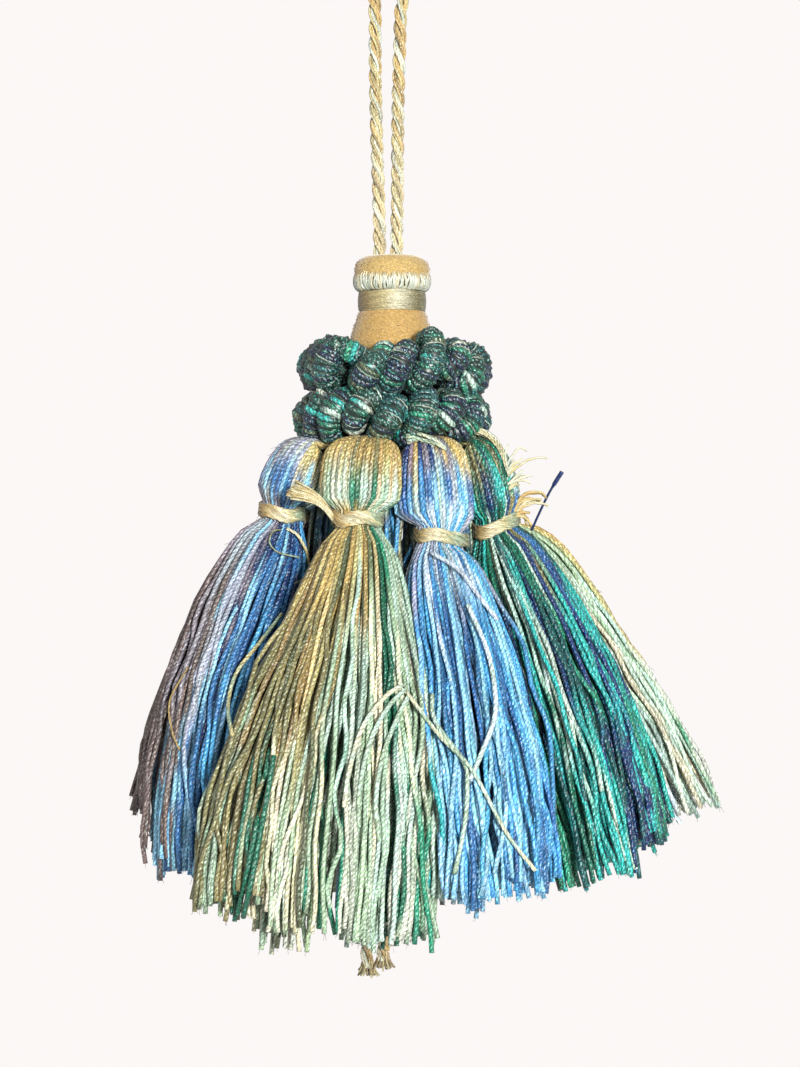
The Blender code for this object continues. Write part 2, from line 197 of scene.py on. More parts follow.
# Which dyes a small tassel's yarns take, in streaks. A yarn draws one row, likelier where it is
# near the row's place across the small tassel, from its left edge at -1 to its right edge at 1 as
# they are seen from the front. The dyes follow each other down the yarn: at its crown, its head,
# and the upper, middle and hem parts of its skirt.
STREAK_COLUMNS = ("across", "spread", "weight", "dyes")
STREAKS = {
    "front_left": [
        (-0.95, 0.12, 1.0, "gold sage old_gold olive olive"),
        (-0.84, 0.10, 1.0, "old_gold mist gold old_gold sage"),
        (-0.74, 0.08, 1.0, "gold silver straw olive olive"),
        (-0.66, 0.05, 0.8, "gold sage olive moss deep_green"),
        (-0.58, 0.07, 1.0, "gold mist gold olive olive"),
        (-0.48, 0.08, 1.0, "straw silver gold old_gold cream"),
        (-0.38, 0.08, 1.0, "gold mist straw straw sage"),
        (-0.30, 0.05, 0.9, "olive green moss olive moss"),
        (-0.22, 0.08, 1.1, "gold green gold olive silver"),
        (-0.12, 0.07, 1.0, "gold deep_green gold sage cream"),
        (-0.02, 0.07, 1.1, "old_gold mist straw mist sage"),
        (0.08, 0.06, 1.0, "gold green gold sage green"),
        (0.16, 0.07, 1.0, "gold silver gold mist silver"),
        (0.26, 0.06, 1.0, "olive deep_green moss sage sage"),
        (0.36, 0.08, 1.0, "gold cream straw cream sage"),
        (0.46, 0.06, 1.2, "gold mist deep_green deep_green mist"),
        (0.54, 0.08, 1.0, "gold cream sage mist silver"),
        (0.64, 0.06, 1.1, "straw mist green sage deep_green"),
        (0.74, 0.08, 1.0, "gold silver mist sage silver"),
        (0.84, 0.06, 1.0, "gold mist sage cream green"),
        (0.92, 0.08, 1.0, "gold sage mist mist sage"),
        (0.98, 0.06, 0.8, "straw green sage deep_green sage"),
    ],
    "front_right": [
        (-0.95, 0.10, 1.0, "mauve sky lilac sky sage"),
        (-0.84, 0.08, 1.0, "navy dark_blue lilac blue teal"),
        (-0.72, 0.08, 1.0, "dark_blue sky lilac sky mist"),
        (-0.60, 0.07, 1.0, "mauve blue sky blue sky"),
        (-0.50, 0.07, 1.0, "gold mist pale sky sky"),
        (-0.38, 0.07, 1.0, "navy dark_blue lilac dark_blue blue"),
        (-0.26, 0.07, 1.0, "dark_blue blue blue blue sky"),
        (-0.14, 0.07, 1.0, "mauve dark_blue pale dark_blue dark_blue"),
        (-0.02, 0.07, 1.0, "navy sky blue sky sky"),
        (0.10, 0.07, 1.0, "lilac mist pale dark_blue blue"),
        (0.22, 0.07, 1.0, "gold sky pale blue sky"),
        (0.34, 0.07, 1.0, "mauve dark_blue sky sky dark_blue"),
        (0.46, 0.07, 1.1, "gold dark_blue pale blue blue"),
        (0.58, 0.07, 1.0, "mauve lilac blue dark_blue sky"),
        (0.70, 0.08, 1.0, "gold blue pale blue blue"),
        (0.82, 0.08, 1.0, "gold sky blue sky dark_blue"),
        (0.94, 0.08, 1.0, "straw dark_blue lilac blue blue"),
    ],
    "right": [
        (-0.95, 0.08, 1.0, "moss mist teal teal deep_green"),
        (-0.84, 0.07, 1.0, "olive teal deep_green teal teal"),
        (-0.74, 0.06, 1.0, "navy teal dark_teal deep_green pine"),
        (-0.64, 0.06, 1.0, "deep_green teal teal green teal"),
        (-0.54, 0.06, 0.8, "olive teal teal sage deep_green"),
        (-0.44, 0.06, 0.9, "moss deep_green deep_green navy green"),
        (-0.33, 0.06, 1.0, "olive teal moss teal teal"),
        (-0.22, 0.06, 1.0, "olive dark_teal mist teal dark_teal"),
        (-0.11, 0.05, 0.8, "moss navy dark_teal mist deep_green"),
        (0.00, 0.06, 0.9, "deep_green dark_teal teal mist teal"),
        (0.11, 0.06, 1.0, "navy navy pine navy teal"),
        (0.22, 0.06, 1.0, "olive teal pine dark_teal mist"),
        (0.34, 0.06, 1.0, "deep_green teal deep_green dark_teal teal"),
        (0.46, 0.06, 1.0, "olive teal mist green navy"),
        (0.58, 0.06, 1.1, "moss deep_green navy navy dark_teal"),
        (0.70, 0.07, 1.0, "deep_green teal olive teal navy"),
        (0.82, 0.07, 1.0, "olive mist dark_blue navy teal"),
        (0.94, 0.08, 1.0, "teal mist dark_teal teal green"),
    ],
    "right_back": [
        (-0.90, 0.14, 1.0, "cream cream straw silver mist"),
        (-0.66, 0.12, 1.0, "gold olive olive mist silver"),
        (-0.44, 0.12, 1.0, "cream cream cream sage cream"),
        (-0.24, 0.08, 0.8, "olive green sage silver mist"),
        (-0.04, 0.12, 1.0, "gold sage olive mist pale"),
        (0.18, 0.12, 1.0, "cream cream straw sage silver"),
        (0.40, 0.10, 0.8, "olive deep_green olive silver mist"),
        (0.58, 0.12, 1.0, "olive sage straw cream cream"),
        (0.76, 0.10, 1.0, "teal olive sage mist mist"),
        (0.88, 0.10, 1.2, "mist straw straw straw silver"),
        (0.97, 0.05, 1.0, "olive straw gold straw green"),
    ],
    "back_right": [
        (-0.84, 0.14, 1.0, "gold lilac pale sky blue"),
        (-0.56, 0.12, 1.0, "mauve blue dark_blue blue sky"),
        (-0.30, 0.12, 1.0, "lilac pale sky lilac blue"),
        (-0.06, 0.10, 1.0, "navy dark_blue blue dark_blue blue"),
        (0.18, 0.12, 1.0, "gold sky lilac pale sky"),
        (0.44, 0.12, 1.0, "mauve dark_blue blue sky dark_blue"),
        (0.70, 0.12, 1.0, "lilac mauve sky blue pale"),
        (0.92, 0.12, 1.0, "gold lilac pale blue dark_blue"),
    ],
    "back_left": [
        (-0.84, 0.12, 1.0, "olive deep_green teal deep_green green"),
        (-0.58, 0.10, 1.0, "moss navy deep_green mist teal"),
        (-0.34, 0.10, 1.0, "deep_green teal green navy deep_green"),
        (-0.10, 0.08, 1.0, "olive olive mist teal pine"),
        (0.14, 0.10, 1.0, "gold green dark_teal teal teal"),
        (0.38, 0.08, 1.0, "navy mist mist pale deep_green"),
        (0.64, 0.10, 1.0, "moss deep_green navy green teal"),
        (0.88, 0.12, 1.0, "olive teal teal dark_teal mist"),
    ],
    "left_back": [
        (-0.80, 0.20, 1.0, "taupe taupe mauve taupe taupe"),
        (-0.40, 0.15, 1.0, "mauve mauve taupe mauve olive"),
        (-0.05, 0.12, 1.0, "dark_blue dark_blue lilac taupe mauve"),
        (0.25, 0.15, 1.0, "taupe taupe taupe mauve taupe"),
        (0.55, 0.12, 1.0, "lilac lilac mauve lilac taupe"),
        (0.85, 0.15, 1.0, "olive olive taupe taupe mauve"),
    ],
    "left": [
        (-0.95, 0.08, 1.2, "lilac dark_blue mauve taupe taupe"),
        (-0.84, 0.07, 1.0, "mauve sky lilac mauve taupe"),
        (-0.72, 0.07, 1.0, "lilac dark_blue lilac taupe taupe"),
        (-0.60, 0.07, 1.0, "silver silver mauve mauve sky"),
        (-0.48, 0.06, 1.0, "lilac dark_blue sky lilac dark_blue"),
        (-0.36, 0.06, 1.0, "lilac dark_blue lilac lilac sky"),
        (-0.24, 0.06, 1.0, "silver sky mauve navy sky"),
        (-0.12, 0.06, 1.0, "sky blue dark_blue dark_blue blue"),
        (0.00, 0.06, 1.0, "lilac dark_blue navy sky dark_blue"),
        (0.12, 0.06, 1.0, "straw silver sky dark_blue sky"),
        (0.25, 0.07, 1.0, "straw dark_blue dark_blue dark_blue blue"),
        (0.38, 0.07, 1.0, "straw lilac sky blue dark_blue"),
        (0.52, 0.07, 1.0, "gold sky navy dark_blue blue"),
        (0.66, 0.08, 1.1, "straw dark_blue dark_blue blue sky"),
        (0.80, 0.08, 1.1, "cream mist navy blue teal"),
        (0.94, 0.08, 1.0, "straw mist blue navy blue"),
    ],
}
DYE_CHANGES = [  # share of a yarn's length, how much it varies, width of the change
    (0.128, 0.016, 0.06),
    (0.195, 0.010, 0.03),
    (0.40, 0.06, 0.10),
    (0.72, 0.07, 0.10),
]
# Patches of a yarn take the dyes that a neighbour would have.
PATCH_WAVES = 1.6
PATCH_LEVEL = 0.2
STREAK_MIXING = 0.75  # how readily a yarn draws a row other than the nearest
TONE_RANGE, DRIFT_RANGE, HUE_RANGE = 0.12, 0.11, 0.04  # between yarns, along one, and in colour
DYE_LIMITS = (0.002, 0.95)


def linear(colour):
    """Linear values of a colour that is given as display values from 0 to 255."""
    share = np.array(colour, float) / 255
    return np.where(share <= 0.04045, share / 12.92, ((share + 0.055) / 1.055) ** 2.4)


def dye(name):
    return linear(DYES[name])


def dyes_of(names):
    """The colours of many dyes, from their names in a list or in one string."""
    if isinstance(names, str):
        names = names.split()
    return np.array([dye(name) for name in names])


def rows(columns, table):
    """A table's rows as dicts."""
    return [dict(zip(columns, values)) for values in table]


# ---- lines and strands ---------------------------------------------------------------------

TWIST_SHIFT = 7.0  # millimetres of strand that set the twists of neighbours apart


def mix(start, end, share):
    return start + (end - start) * share


def smoothstep(value):
    value = np.clip(value, 0.0, 1.0)
    return value * value * (3 - 2 * value)


def polar(azimuth, reach, height):
    """Points at azimuths and distances from the tassel's axis."""
    angle = np.radians(azimuth)
    return np.stack(np.broadcast_arrays(reach * np.sin(angle), -reach * np.cos(angle),
                                        np.asarray(height, float)), axis=-1)


def smooth_lines(points, steps):
    """Smooth curves through the points of many lines, with so many steps for each stretch.

    points is (lines, points, 3), and steps is one count or one for each stretch.
    """
    before = np.concatenate([2 * points[:, :1] - points[:, 1:2], points[:, :-1]], axis=1)
    after = np.concatenate([points[:, 1:], 2 * points[:, -1:] - points[:, -2:-1]], axis=1)
    stretches = points.shape[1] - 1
    counts = np.broadcast_to(steps, stretches)
    result = [points[:, :1]]
    for index, count in enumerate(counts):
        start, end = points[:, index, None], points[:, index + 1, None]
        early, late = before[:, index, None], after[:, index + 1, None]
        t = (np.arange(count) + 1)[:, None] / count
        result.append(0.5 * (2 * start + (end - early) * t
                             + (2 * early - 5 * start + 4 * end - late) * t ** 2
                             + (3 * start - early - 3 * end + late) * t ** 3))
    return np.concatenate(result, axis=1)


def smooth_route(points, spacing):
    """One smooth curve through a route's points, read at about the given spacing."""
    points = np.array(points, float)
    gaps = np.linalg.norm(np.diff(points, axis=0), axis=1)
    return smooth_lines(points[None], np.maximum(1, np.round(gaps / spacing).astype(int)))[0]


def lengths_along(lines):
    """Distance from its start to each point of each line."""
    steps = np.linalg.norm(np.diff(lines, axis=1), axis=2)
    return np.concatenate([np.zeros((len(lines), 1)), np.cumsum(steps, axis=1)], axis=1)


def unit(vectors):
    return vectors / np.linalg.norm(vectors, axis=-1, keepdims=True)


def strand_frames(lines):
    """Directions across each line at each point, two at right angles, that don't twist."""
    along = unit(np.gradient(lines, axis=1))
    least = np.eye(3)[np.argmin(np.abs(along[:, 0]), axis=1)]
    across = np.empty_like(lines)
    turned = least
    for index in range(lines.shape[1]):
        here = along[:, index]
        turned = unit(turned - here * np.sum(turned * here, axis=1, keepdims=True))
        across[:, index] = turned
    return across, np.cross(along, across)


def circle_offsets(lines, angle, reach):
    """Offsets from each line's points at an angle round it."""
    across, up = strand_frames(lines)
    return reach * (across * np.cos(angle)[..., None] + up * np.sin(angle)[..., None])


def tubes(lines, radius, colour, sides):
    """Closed tubes along lines, as places, faces, strand coordinates and dyes.

    lines is (strands, points, 3); radius and colour spread out over (strands, points).
    """
    count, points = lines.shape[:2]
    radius = np.broadcast_to(radius, (count, points))
    colour = np.broadcast_to(colour, (count, points, 3))
    across, up = strand_frames(lines)
    angle = TURN * np.arange(sides) / sides
    around = (across[:, :, None] * np.cos(angle)[:, None] + up[:, :, None] * np.sin(angle)[:, None])
    places = lines[:, :, None] + around * radius[:, :, None, None]
    number = np.arange(count * points * sides).reshape(count, points, sides)
    here, there = number[:, :-1], number[:, 1:]
    quads = np.stack([here, np.roll(here, -1, 2), np.roll(there, -1, 2), there], axis=-1)
    caps = np.concatenate([number[:, 0, ::-1], number[:, -1]])

    start = (np.arange(count) * GOLDEN_SHARE % 1)[:, None]
    down = lengths_along(lines) + TWIST_SHIFT * start
    side = np.arange(sides) / sides
    corner_u = np.stack([side, side + 1 / sides, side + 1 / sides, side], axis=-1)
    corner_u = np.broadcast_to(corner_u, quads.shape)
    corner_v = np.stack([down[:, :-1], down[:, :-1], down[:, 1:], down[:, 1:]], axis=-1)
    corner_v = np.broadcast_to(corner_v[:, :, None], quads.shape)
    cap_v = np.repeat(np.concatenate([down[:, 0], down[:, -1]]), sides)
    coordinates = np.concatenate([
        np.stack([corner_u.ravel(), corner_v.ravel()], axis=-1),
        np.stack([np.tile(side, 2 * count), cap_v], axis=-1)])
    seed = np.broadcast_to(start, (count, points))
    dyes = np.concatenate([colour, seed[..., None]], axis=-1)
    dyes = np.broadcast_to(dyes[:, :, None], (count, points, sides, 4))
    return dict(places=places.reshape(-1, 3), quads=quads.reshape(-1, 4), caps=caps,
                coordinates=coordinates, dyes=dyes.reshape(-1, 4))


def strand_object(name, parts, material, node=None):
    """Join sets of tubes into one piece, with its strand coordinates, dyes and material, and hide the
    part's node.
    """
    offsets = np.cumsum([0] + [len(part["places"]) for part in parts])
    faces = []
    for part, offset in zip(parts, offsets):
        faces += (part["quads"] + offset).tolist()
        faces += (part["caps"] + offset).tolist()
    data = bpy.data.meshes.new(name)
    places = np.concatenate([part["places"] for part in parts]) * MM
    data.from_pydata(places.tolist(), [], faces)
    coordinates = np.concatenate([part["coordinates"] for part in parts])
    data.uv_layers.new(name="strand").uv.foreach_set("vector", coordinates.ravel())
    dyes = np.concatenate([part["dyes"] for part in parts])
    data.color_attributes.new("dye", "FLOAT_COLOR", "POINT").data.foreach_set("color", dyes.ravel())
    data.shade_smooth()
    data.materials.append(MATERIALS[material])
    piece = bpy.data.objects.new(name, data)
    bpy.context.collection.objects.link(piece)
    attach(piece, "root")
    if node:
        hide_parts(node)
    return piece


def wave_noise(rng, count, along, waves):
    """Smooth random values for each strand at each place along it, of size about 1."""
    along = np.broadcast_to(along, (count, np.shape(along)[-1]))
    total = np.zeros(along.shape)
    for wave in range(1, waves + 1):
        size = rng.normal(0, 1, (count, 1)) / math.sqrt(waves)
        total += size * np.sin(TURN * (wave * along + rng.uniform(0, 1, (count, 1))))
    return total * math.sqrt(2)


def round_dyes(azimuth, table):
    """Dyes that change smoothly with the azimuth, and join up all the way round."""
    names, places = zip(*table)
    channels = dyes_of(names).T
    return np.stack([np.interp(azimuth, places, channel, period=360) for channel in channels], axis=-1)


def thread_dyes(rng, lines, names, stretch):
    """Dyes that drift between the named ones along each thread."""
    down = lengths_along(lines)
    colours = dyes_of(names)
    pick = (len(colours) - 1) * smoothstep(0.5 + 0.45 * wave_noise(rng, len(lines), down / stretch, 4))
    low = np.minimum(pick.astype(int), len(colours) - 2)
    return mix(colours[low], colours[low + 1], (pick - low)[..., None])


# ---- materials -----------------------------------------------------------------------------

# Painted light in the strands' colour: the dye darkens in the grooves between plies as painted shade and
# lightens on their backs; glints and sparks are painted highlights.
STRAND_COLUMNS = ("plies", "lay", "ply_depth", "groove", "filaments", "wind", "grain",
                  "filament_depth", "darkest", "lightest", "painted_glint", "gain", "lift", "painted_spark",
                  "roughness", "specular", "sheen")
STRAND_MATERIALS = {
    "yarn": (2, 1.7, 0.10, 0.62, 7, 12.0, 0.8,
             0.12, 0.48, 1.30, 1.0, 2.0, (0.05, 0.12, 0.11), 0.2,
             0.34, 0.6, 0.05),
    "bright_yarn": (2, 1.7, 0.10, 0.50, 7, 12.0, 1.1,
                    0.12, 0.22, 1.50, 1.0, 2.3, (0.02, 0.15, 0.13), 0.1,
                    0.34, 0.6, 0.05),
    "cord_yarn": (2, 1.8, 0.07, 0.78, 8, 5.4, 1.5,
                  0.14, 0.52, 1.22, 0.8, 1.4, (0.30, 0.30, 0.27), 0.6,
                  0.40, 0.5, 0.3),
    "satin": (0, 1.0, 0.0, 1.0, 8, 3.0, 0.5,
              0.14, 0.45, 1.25, 0.6, 1.4, (0.16, 0.16, 0.14), 0.3,
              0.26, 0.9, 0.1),
    "floss": (0, 1.0, 0.0, 1.0, 6, 3.0, 0.4,
              0.12, 0.60, 1.30, 0.3, 1.4, (0.04, 0.04, 0.04), 0.0,
              0.40, 0.4, 0.2),
    "wrap": (2, 1.3, 0.09, 0.26, 6, 9.0, 1.6,
             0.10, 0.14, 1.70, 1.0, 2.2, (0.05, 0.26, 0.22), 0.35,
             0.38, 0.75, 0.05),
    "pile": (0, 0.5, 0.0, 1.0, 3, 1.5, 3.0,
             0.10, 0.62, 1.12, 0.3, 1.4, (0.18, 0.16, 0.12), 0.3,
             0.70, 0.3, 0.6),
}
SEED_SPREAD = 90.0
# The filaments' shade is partly their own tone and partly painted highlight and shade.
FILAMENT_RANGE = (0.3, 0.7)  # of the filaments' noise, from darkest to lightest
GLINT_STRETCH = (1.3, 2.6, 1.0)
# Glints are painted highlights: a brighter copy of the dye mixed into the base colour.
GLINT_RANGE = (0.57, 0.66)  # of the glints' noise, from none to full
# Sparks are painted highlights: near-white dots mixed into the base colour.
SPARK_RANGE = (0.66, 0.72)
PAINTED_SPARK_COLOUR = (0.80, 0.84, 0.80, 1.0)
LAY_RANGE = (0.85, 1.15)  # how strands differ in the length of their lay
LAY_SWAY = 0.8
RIDGE_POWER = 0.6
# Painted light on the plies' backs, beside the painted shade in their grooves.
PLY_BACK_PAINTED_LIGHT = 1.08
ROUGHER, SMOOTHER = 0.12, 0.08
SHEEN_ROUGHNESS = 0.4


def add_node(tree, kind, values=(), **settings):
    """A node with its settings, and its inputs from values or from other nodes' outputs."""
    node = tree.nodes.new(kind)
    for key, value in settings.items():
        setattr(node, key, value)
    for key, value in dict(values).items():
        if isinstance(value, bpy.types.NodeSocket):
            tree.links.new(value, node.inputs[key])
        else:
            node.inputs[key].default_value = value
    return node


def add_math(tree, operation, *numbers):
    return add_node(tree, "ShaderNodeMath", enumerate(numbers), operation=operation).outputs[0]


def add_vector_math(tree, operation, *vectors):
    return add_node(tree, "ShaderNodeVectorMath", enumerate(vectors), operation=operation).outputs[0]


def add_range(tree, value, source, target):
    """A value from the source range, carried over to the target range and kept inside it."""
    ends = {"From Min": source[0], "From Max": source[1], "To Min": target[0], "To Max": target[1]}
    return add_node(tree, "ShaderNodeMapRange", {"Value": value, **ends}).outputs[0]


def add_noise(tree, place, scale, detail, roughness=0.5):
    values = {"Vector": place, "Scale": scale, "Detail": detail, "Roughness": roughness}
    return add_node(tree, "ShaderNodeTexNoise", values).outputs[0]


def add_mix(tree, share, first, second):
    values = {"Factor": share, 6: first, 7: second}
    return add_node(tree, "ShaderNodeMix", values, data_type="RGBA").outputs[2]


def ply_ridges(tree, row, around, down, own, seed):
    """Plies that wind round a strand: 0 in the grooves between them and 1 on their backs."""
    sway = add_noise(tree, add_node(tree, "ShaderNodeCombineXYZ", {0: down, 1: seed}).outputs[0],
                     0.9, 1.0)
    swayed = add_math(tree, "MULTIPLY", sway, LAY_SWAY * row["lay"])
    along = add_math(tree, "MULTIPLY_ADD", down, add_range(tree, own, (0.0, 1.0), LAY_RANGE), swayed)
    turns = add_math(tree, "MULTIPLY", around, row["plies"])
    slant = add_math(tree, "MULTIPLY_ADD", along, -row["plies"] / row["lay"], turns)
    return add_math(tree, "ABSOLUTE", add_math(tree, "SINE", add_math(tree, "MULTIPLY", slant, math.pi)))


def strand_pattern(tree, row, own):
    """A strand's height, its shade (filament tone and painted shade), its painted glints, and the two
    noises that they come from.
    """
    place = add_node(tree, "ShaderNodeUVMap", uv_map="strand").outputs[0]
    around, down = add_node(tree, "ShaderNodeSeparateXYZ", {0: place}).outputs[:2]
    seed = add_math(tree, "MULTIPLY", own, SEED_SPREAD)
    turns = add_math(tree, "MULTIPLY", around, row["filaments"])
    slant = add_math(tree, "MULTIPLY_ADD", down, -row["filaments"] / row["wind"], turns)
    drawn_out = add_math(tree, "MULTIPLY", down, row["grain"])
    fine_place = add_node(tree, "ShaderNodeCombineXYZ", {0: slant, 1: drawn_out, 2: seed}).outputs[0]
    filaments = add_noise(tree, fine_place, 1.0, 3.0, 0.65)
    bright = add_noise(tree, add_vector_math(tree, "MULTIPLY", fine_place, GLINT_STRETCH), 1.0, 1.0)
    height = add_math(tree, "MULTIPLY", filaments, row["filament_depth"])
    shade = add_range(tree, filaments, FILAMENT_RANGE, (row["darkest"], row["lightest"]))
    painted_glint = add_range(tree, bright, GLINT_RANGE, (0.0, row["painted_glint"]))
    if row["plies"]:
        ridge = ply_ridges(tree, row, around, down, own, seed)
        height = add_math(tree, "MULTIPLY_ADD", ridge, row["ply_depth"], height)
        rounded = add_math(tree, "POWER", ridge, RIDGE_POWER)
        # Painted shade in the grooves between the plies, and painted light on their backs.
        groove = add_range(tree, rounded, (0.0, 1.0), (row["groove"], PLY_BACK_PAINTED_LIGHT))
        shade = add_math(tree, "MULTIPLY", shade, groove)
        painted_glint = add_math(tree, "MULTIPLY", painted_glint, rounded)
    return height, shade, painted_glint, filaments, bright


def strand_material(name, values):
    """Dyed thread: plies that wind round it, fine filaments, painted shade in the grooves, and painted
    glints and sparks.
    """
    row = dict(zip(STRAND_COLUMNS, values))
    made = bpy.data.materials.new(name)
    made.use_nodes = True
    tree = made.node_tree
    colour = add_node(tree, "ShaderNodeAttribute", attribute_name="dye").outputs
    dyed, own = colour["Color"], colour["Alpha"]
    height, shade, painted_glint, filaments, bright = strand_pattern(tree, row, own)

    shaded = add_node(tree, "ShaderNodeVectorMath", {0: dyed, "Scale": shade}, operation="SCALE")
    # Painted highlight: a brighter copy of the dye, mixed in where the glints fall, then near-white
    # painted sparks.
    lit = add_vector_math(tree, "MULTIPLY_ADD", dyed, (row["gain"],) * 3, row["lift"])
    with_painted_glints = add_mix(tree, painted_glint, shaded.outputs[0], lit)
    painted_spark = add_range(tree, bright, SPARK_RANGE, (0.0, row["painted_spark"]))
    gloss = (row["roughness"] + ROUGHER, row["roughness"] - SMOOTHER)
    bump = add_node(tree, "ShaderNodeBump", {"Height": height, "Distance": MM, "Strength": 1.0})
    inputs = tree.nodes["Principled BSDF"].inputs
    tree.links.new(add_mix(tree, painted_spark, with_painted_glints, PAINTED_SPARK_COLOUR), inputs["Base Color"])
    tree.links.new(bump.outputs[0], inputs["Normal"])
    tree.links.new(add_range(tree, filaments, FILAMENT_RANGE, gloss), inputs["Roughness"])
    inputs["Specular IOR Level"].default_value = row["specular"]
    inputs["Sheen Weight"].default_value = row["sheen"]
    inputs["Sheen Roughness"].default_value = SHEEN_ROUGHNESS
    return made


MATERIALS = {name: strand_material(name, values) for name, values in STRAND_MATERIALS.items()}

# ---- camera --------------------------------------------------------------------------------

CAMERA_PLACE = (1.2, -450.0, -91.95)
CAMERA_TALL_ANGLE = 20.16


def add_camera():
    """The camera, level and straight in front, with the picture's tall side as its angle."""
    data = bpy.data.cameras.new("camera")
    data.sensor_width = 36.0
    data.lens = data.sensor_width / 2 / math.tan(math.radians(CAMERA_TALL_ANGLE / 2))
    data.clip_start = 0.01
    data.clip_end = 50.0
    camera = bpy.data.objects.new("camera", data)
    camera.location = Vector(CAMERA_PLACE) * MM
    camera.rotation_euler = (math.radians(90), 0.0, 0.0)
    bpy.context.collection.objects.link(camera)
    bpy.context.scene.camera = camera


add_camera()

# ---- hanging cord and its two ends ---------------------------------------------------------

CORD_LAY = 7.2
PLY_OFFSET = 0.54
YARN_LAY = 9.0
CORD_YARN_OFFSET = 0.27
CORD_YARN_RADIUS = 0.24
CORD_DYES = (  # of each ply's yarns
    "gold straw gold old_gold",
    "straw silver cream straw",
    "gold straw silver gold",
)
# The hanging loop turns paler between these heights, down to the head.
CORD_PALE_FROM, CORD_PALE_TO = -22.0, -48.0
CORD_PALE_SHARE = 0.4
CORD_SEEDS = {"hanging_loop": 11, "cord_tail_left": 12, "cord_tail_right": 13}
FRAY_COUNT = 44
FRAY_POINTS = 7
FRAY_RADIUS = 0.13
FRAY_LENGTH = 2.6
FRAY_ROOT = 1.2
FRAY_SPREAD, FRAY_FLARE = 0.8, 1.1  # shares of the cord's radius, at the root and more at the tip


def cord_yarns(line):
    """The yarns of a three-ply cord round its line, and their dyes."""
    down = lengths_along(line[None])
    lines = []
    for ply, names in enumerate(CORD_DYES):
        turn = -TURN * down / CORD_LAY + TURN * ply / len(CORD_DYES)
        ply_line = line[None] + circle_offsets(line[None], turn, PLY_OFFSET)
        yarns = len(names.split())
        for yarn in range(yarns):
            own_turn = TURN * (down / YARN_LAY + yarn / yarns) + turn
            lines.append(ply_line + circle_offsets(line[None], own_turn, CORD_YARN_OFFSET))
    height = line[:, 2]
    fallen = smoothstep((CORD_PALE_FROM - height) / (CORD_PALE_FROM - CORD_PALE_TO))
    pale = CORD_PALE_SHARE * fallen * (height > HEAD_TOP_Z)
    dyes = mix(dyes_of(" ".join(CORD_DYES))[:, None], dye("cream"), pale[None, :, None])
    return np.concatenate(lines), dyes


def cord_fray(line, rng):
    """The loose ends of a cut cord: fine filaments that spread from its last stretch."""
    across, up = (side[0, -1] for side in strand_frames(line[None]))
    along = unit(line[-1] - line[-2])
    share = np.linspace(0, 1, FRAY_POINTS)[None, :, None]
    angle = rng.uniform(0, TURN, FRAY_COUNT)[:, None, None]
    reach = np.sqrt(rng.uniform(0, 1, FRAY_COUNT))[:, None, None]
    length = rng.uniform(0.7, 1.0, FRAY_COUNT)[:, None, None] * FRAY_LENGTH
    side = across * np.cos(angle) + up * np.sin(angle)
    spread = CORD_DIAMETER / 2 * reach * (FRAY_SPREAD + FRAY_FLARE * share ** 2)
    lines = line[-1] - along * FRAY_ROOT + along * length * share + side * spread
    return lines, dyes_of(rng.choice(["olive", "old_gold", "straw"], FRAY_COUNT))[:, None]


def make_cord(name, route, spacing, far_end):
    """One free cord as its twisted yarns."""
    rng = np.random.default_rng(CORD_SEEDS[name])
    line = smooth_route(route, spacing)
    down = lengths_along(line[None])[0]
    yarns, dyes = cord_yarns(line)
    tone = 1 + 0.16 * wave_noise(rng, len(yarns), down / 18, 5)[..., None]
    parts = [tubes(yarns, CORD_YARN_RADIUS, dyes * tone, 5)]
    if far_end == "bare":
        fray, fray_dyes = cord_fray(line, rng)
        parts.append(tubes(fray, FRAY_RADIUS, fray_dyes, 4))
    piece = strand_object("twisted_" + name, parts, "cord_yarn", name)


make_cord("hanging_loop", LOOP_ROUTE, 0.5, far_end="object")
for tail, tail_route in TAIL_ROUTES.items():
    make_cord(tail, tail_route, 0.6, far_end="bare")

# ---- head ----------------------------------------------------------------------------------

HEAD_COVER = [  # height, radius, dye, from the cord's hole down to the bell's rim
    (-50.9, 2.3, "old_gold"),
    (-50.4, 3.2, "gold"),
    (-50.5, 4.2, "gold"),
    (-51.2, 5.1, "gold"),
    (-52.2, 5.55, "gold"),
    (-53.4, 5.5, "gold"),
    (-54.6, 5.2, "straw"),
    (-55.3, 4.7, "old_gold"),
    (-55.8, 4.3, "old_gold"),
    (-58.4, 4.4, "old_gold"),
    (-58.6, 4.8, "honey"),
    (-59.4, 5.15, "honey"),
    (-61.2, 5.75, "honey"),
    (-63.8, 6.5, "honey"),
    (-67.0, 7.05, "old_gold"),
    (-68.2, 7.15, "pine"),
    (-73.5, 7.35, "pine"),
    (-77.2, 7.1, "pine"),
    (-78.4, 5.6, "pine"),
    (-78.5, 2.3, "pine"),
]
HEAD_SIDES = 96
HEAD_ROW_STEPS = 4
HEAD_GRAIN = 24  # strand widths round the head, for the grain of its pile
DRUM_THREADS = 104
DRUM_THREAD_RADIUS = 0.21
DRUM_THREAD_START, DRUM_THREAD_START_RANGE = -1.1, 0.16  # where their tops lie beside the route's
DRUM_GOLD_SHARE = 0.5  # of a thread, from its top, where it turns from gold to its own dye
DRUM_THREAD_ROUTE = [  # height, radius
    (-51.9, 5.25),
    (-52.6, 5.55),
    (-53.4, 5.68),
    (-54.3, 5.62),
    (-55.1, 5.30),
    (-55.6, 4.75),
]
PILE_COUNT = 3000
PILE_LENGTH = 0.36
PILE_RADIUS = 0.03
PILE_ROOT_DEPTH = 0.05
PILE_ARCH = 0.10
PILE_TONE, PILE_TONE_RANGE = 1.08, 0.14
PILE_RANGES = ((-58.8, -68.0, 0.72), (-50.6, -53.0, 0.28))  # from height, to height, share


def head_outline():
    """The head cover's outline and its dyes, at closely spaced heights."""
    outline = np.array([(radius, 0.0, height) for height, radius, _ in HEAD_COVER])
    dyes = dyes_of([name for _, _, name in HEAD_COVER])
    return [smooth_lines(values[None], HEAD_ROW_STEPS)[0] for values in (outline, dyes)]


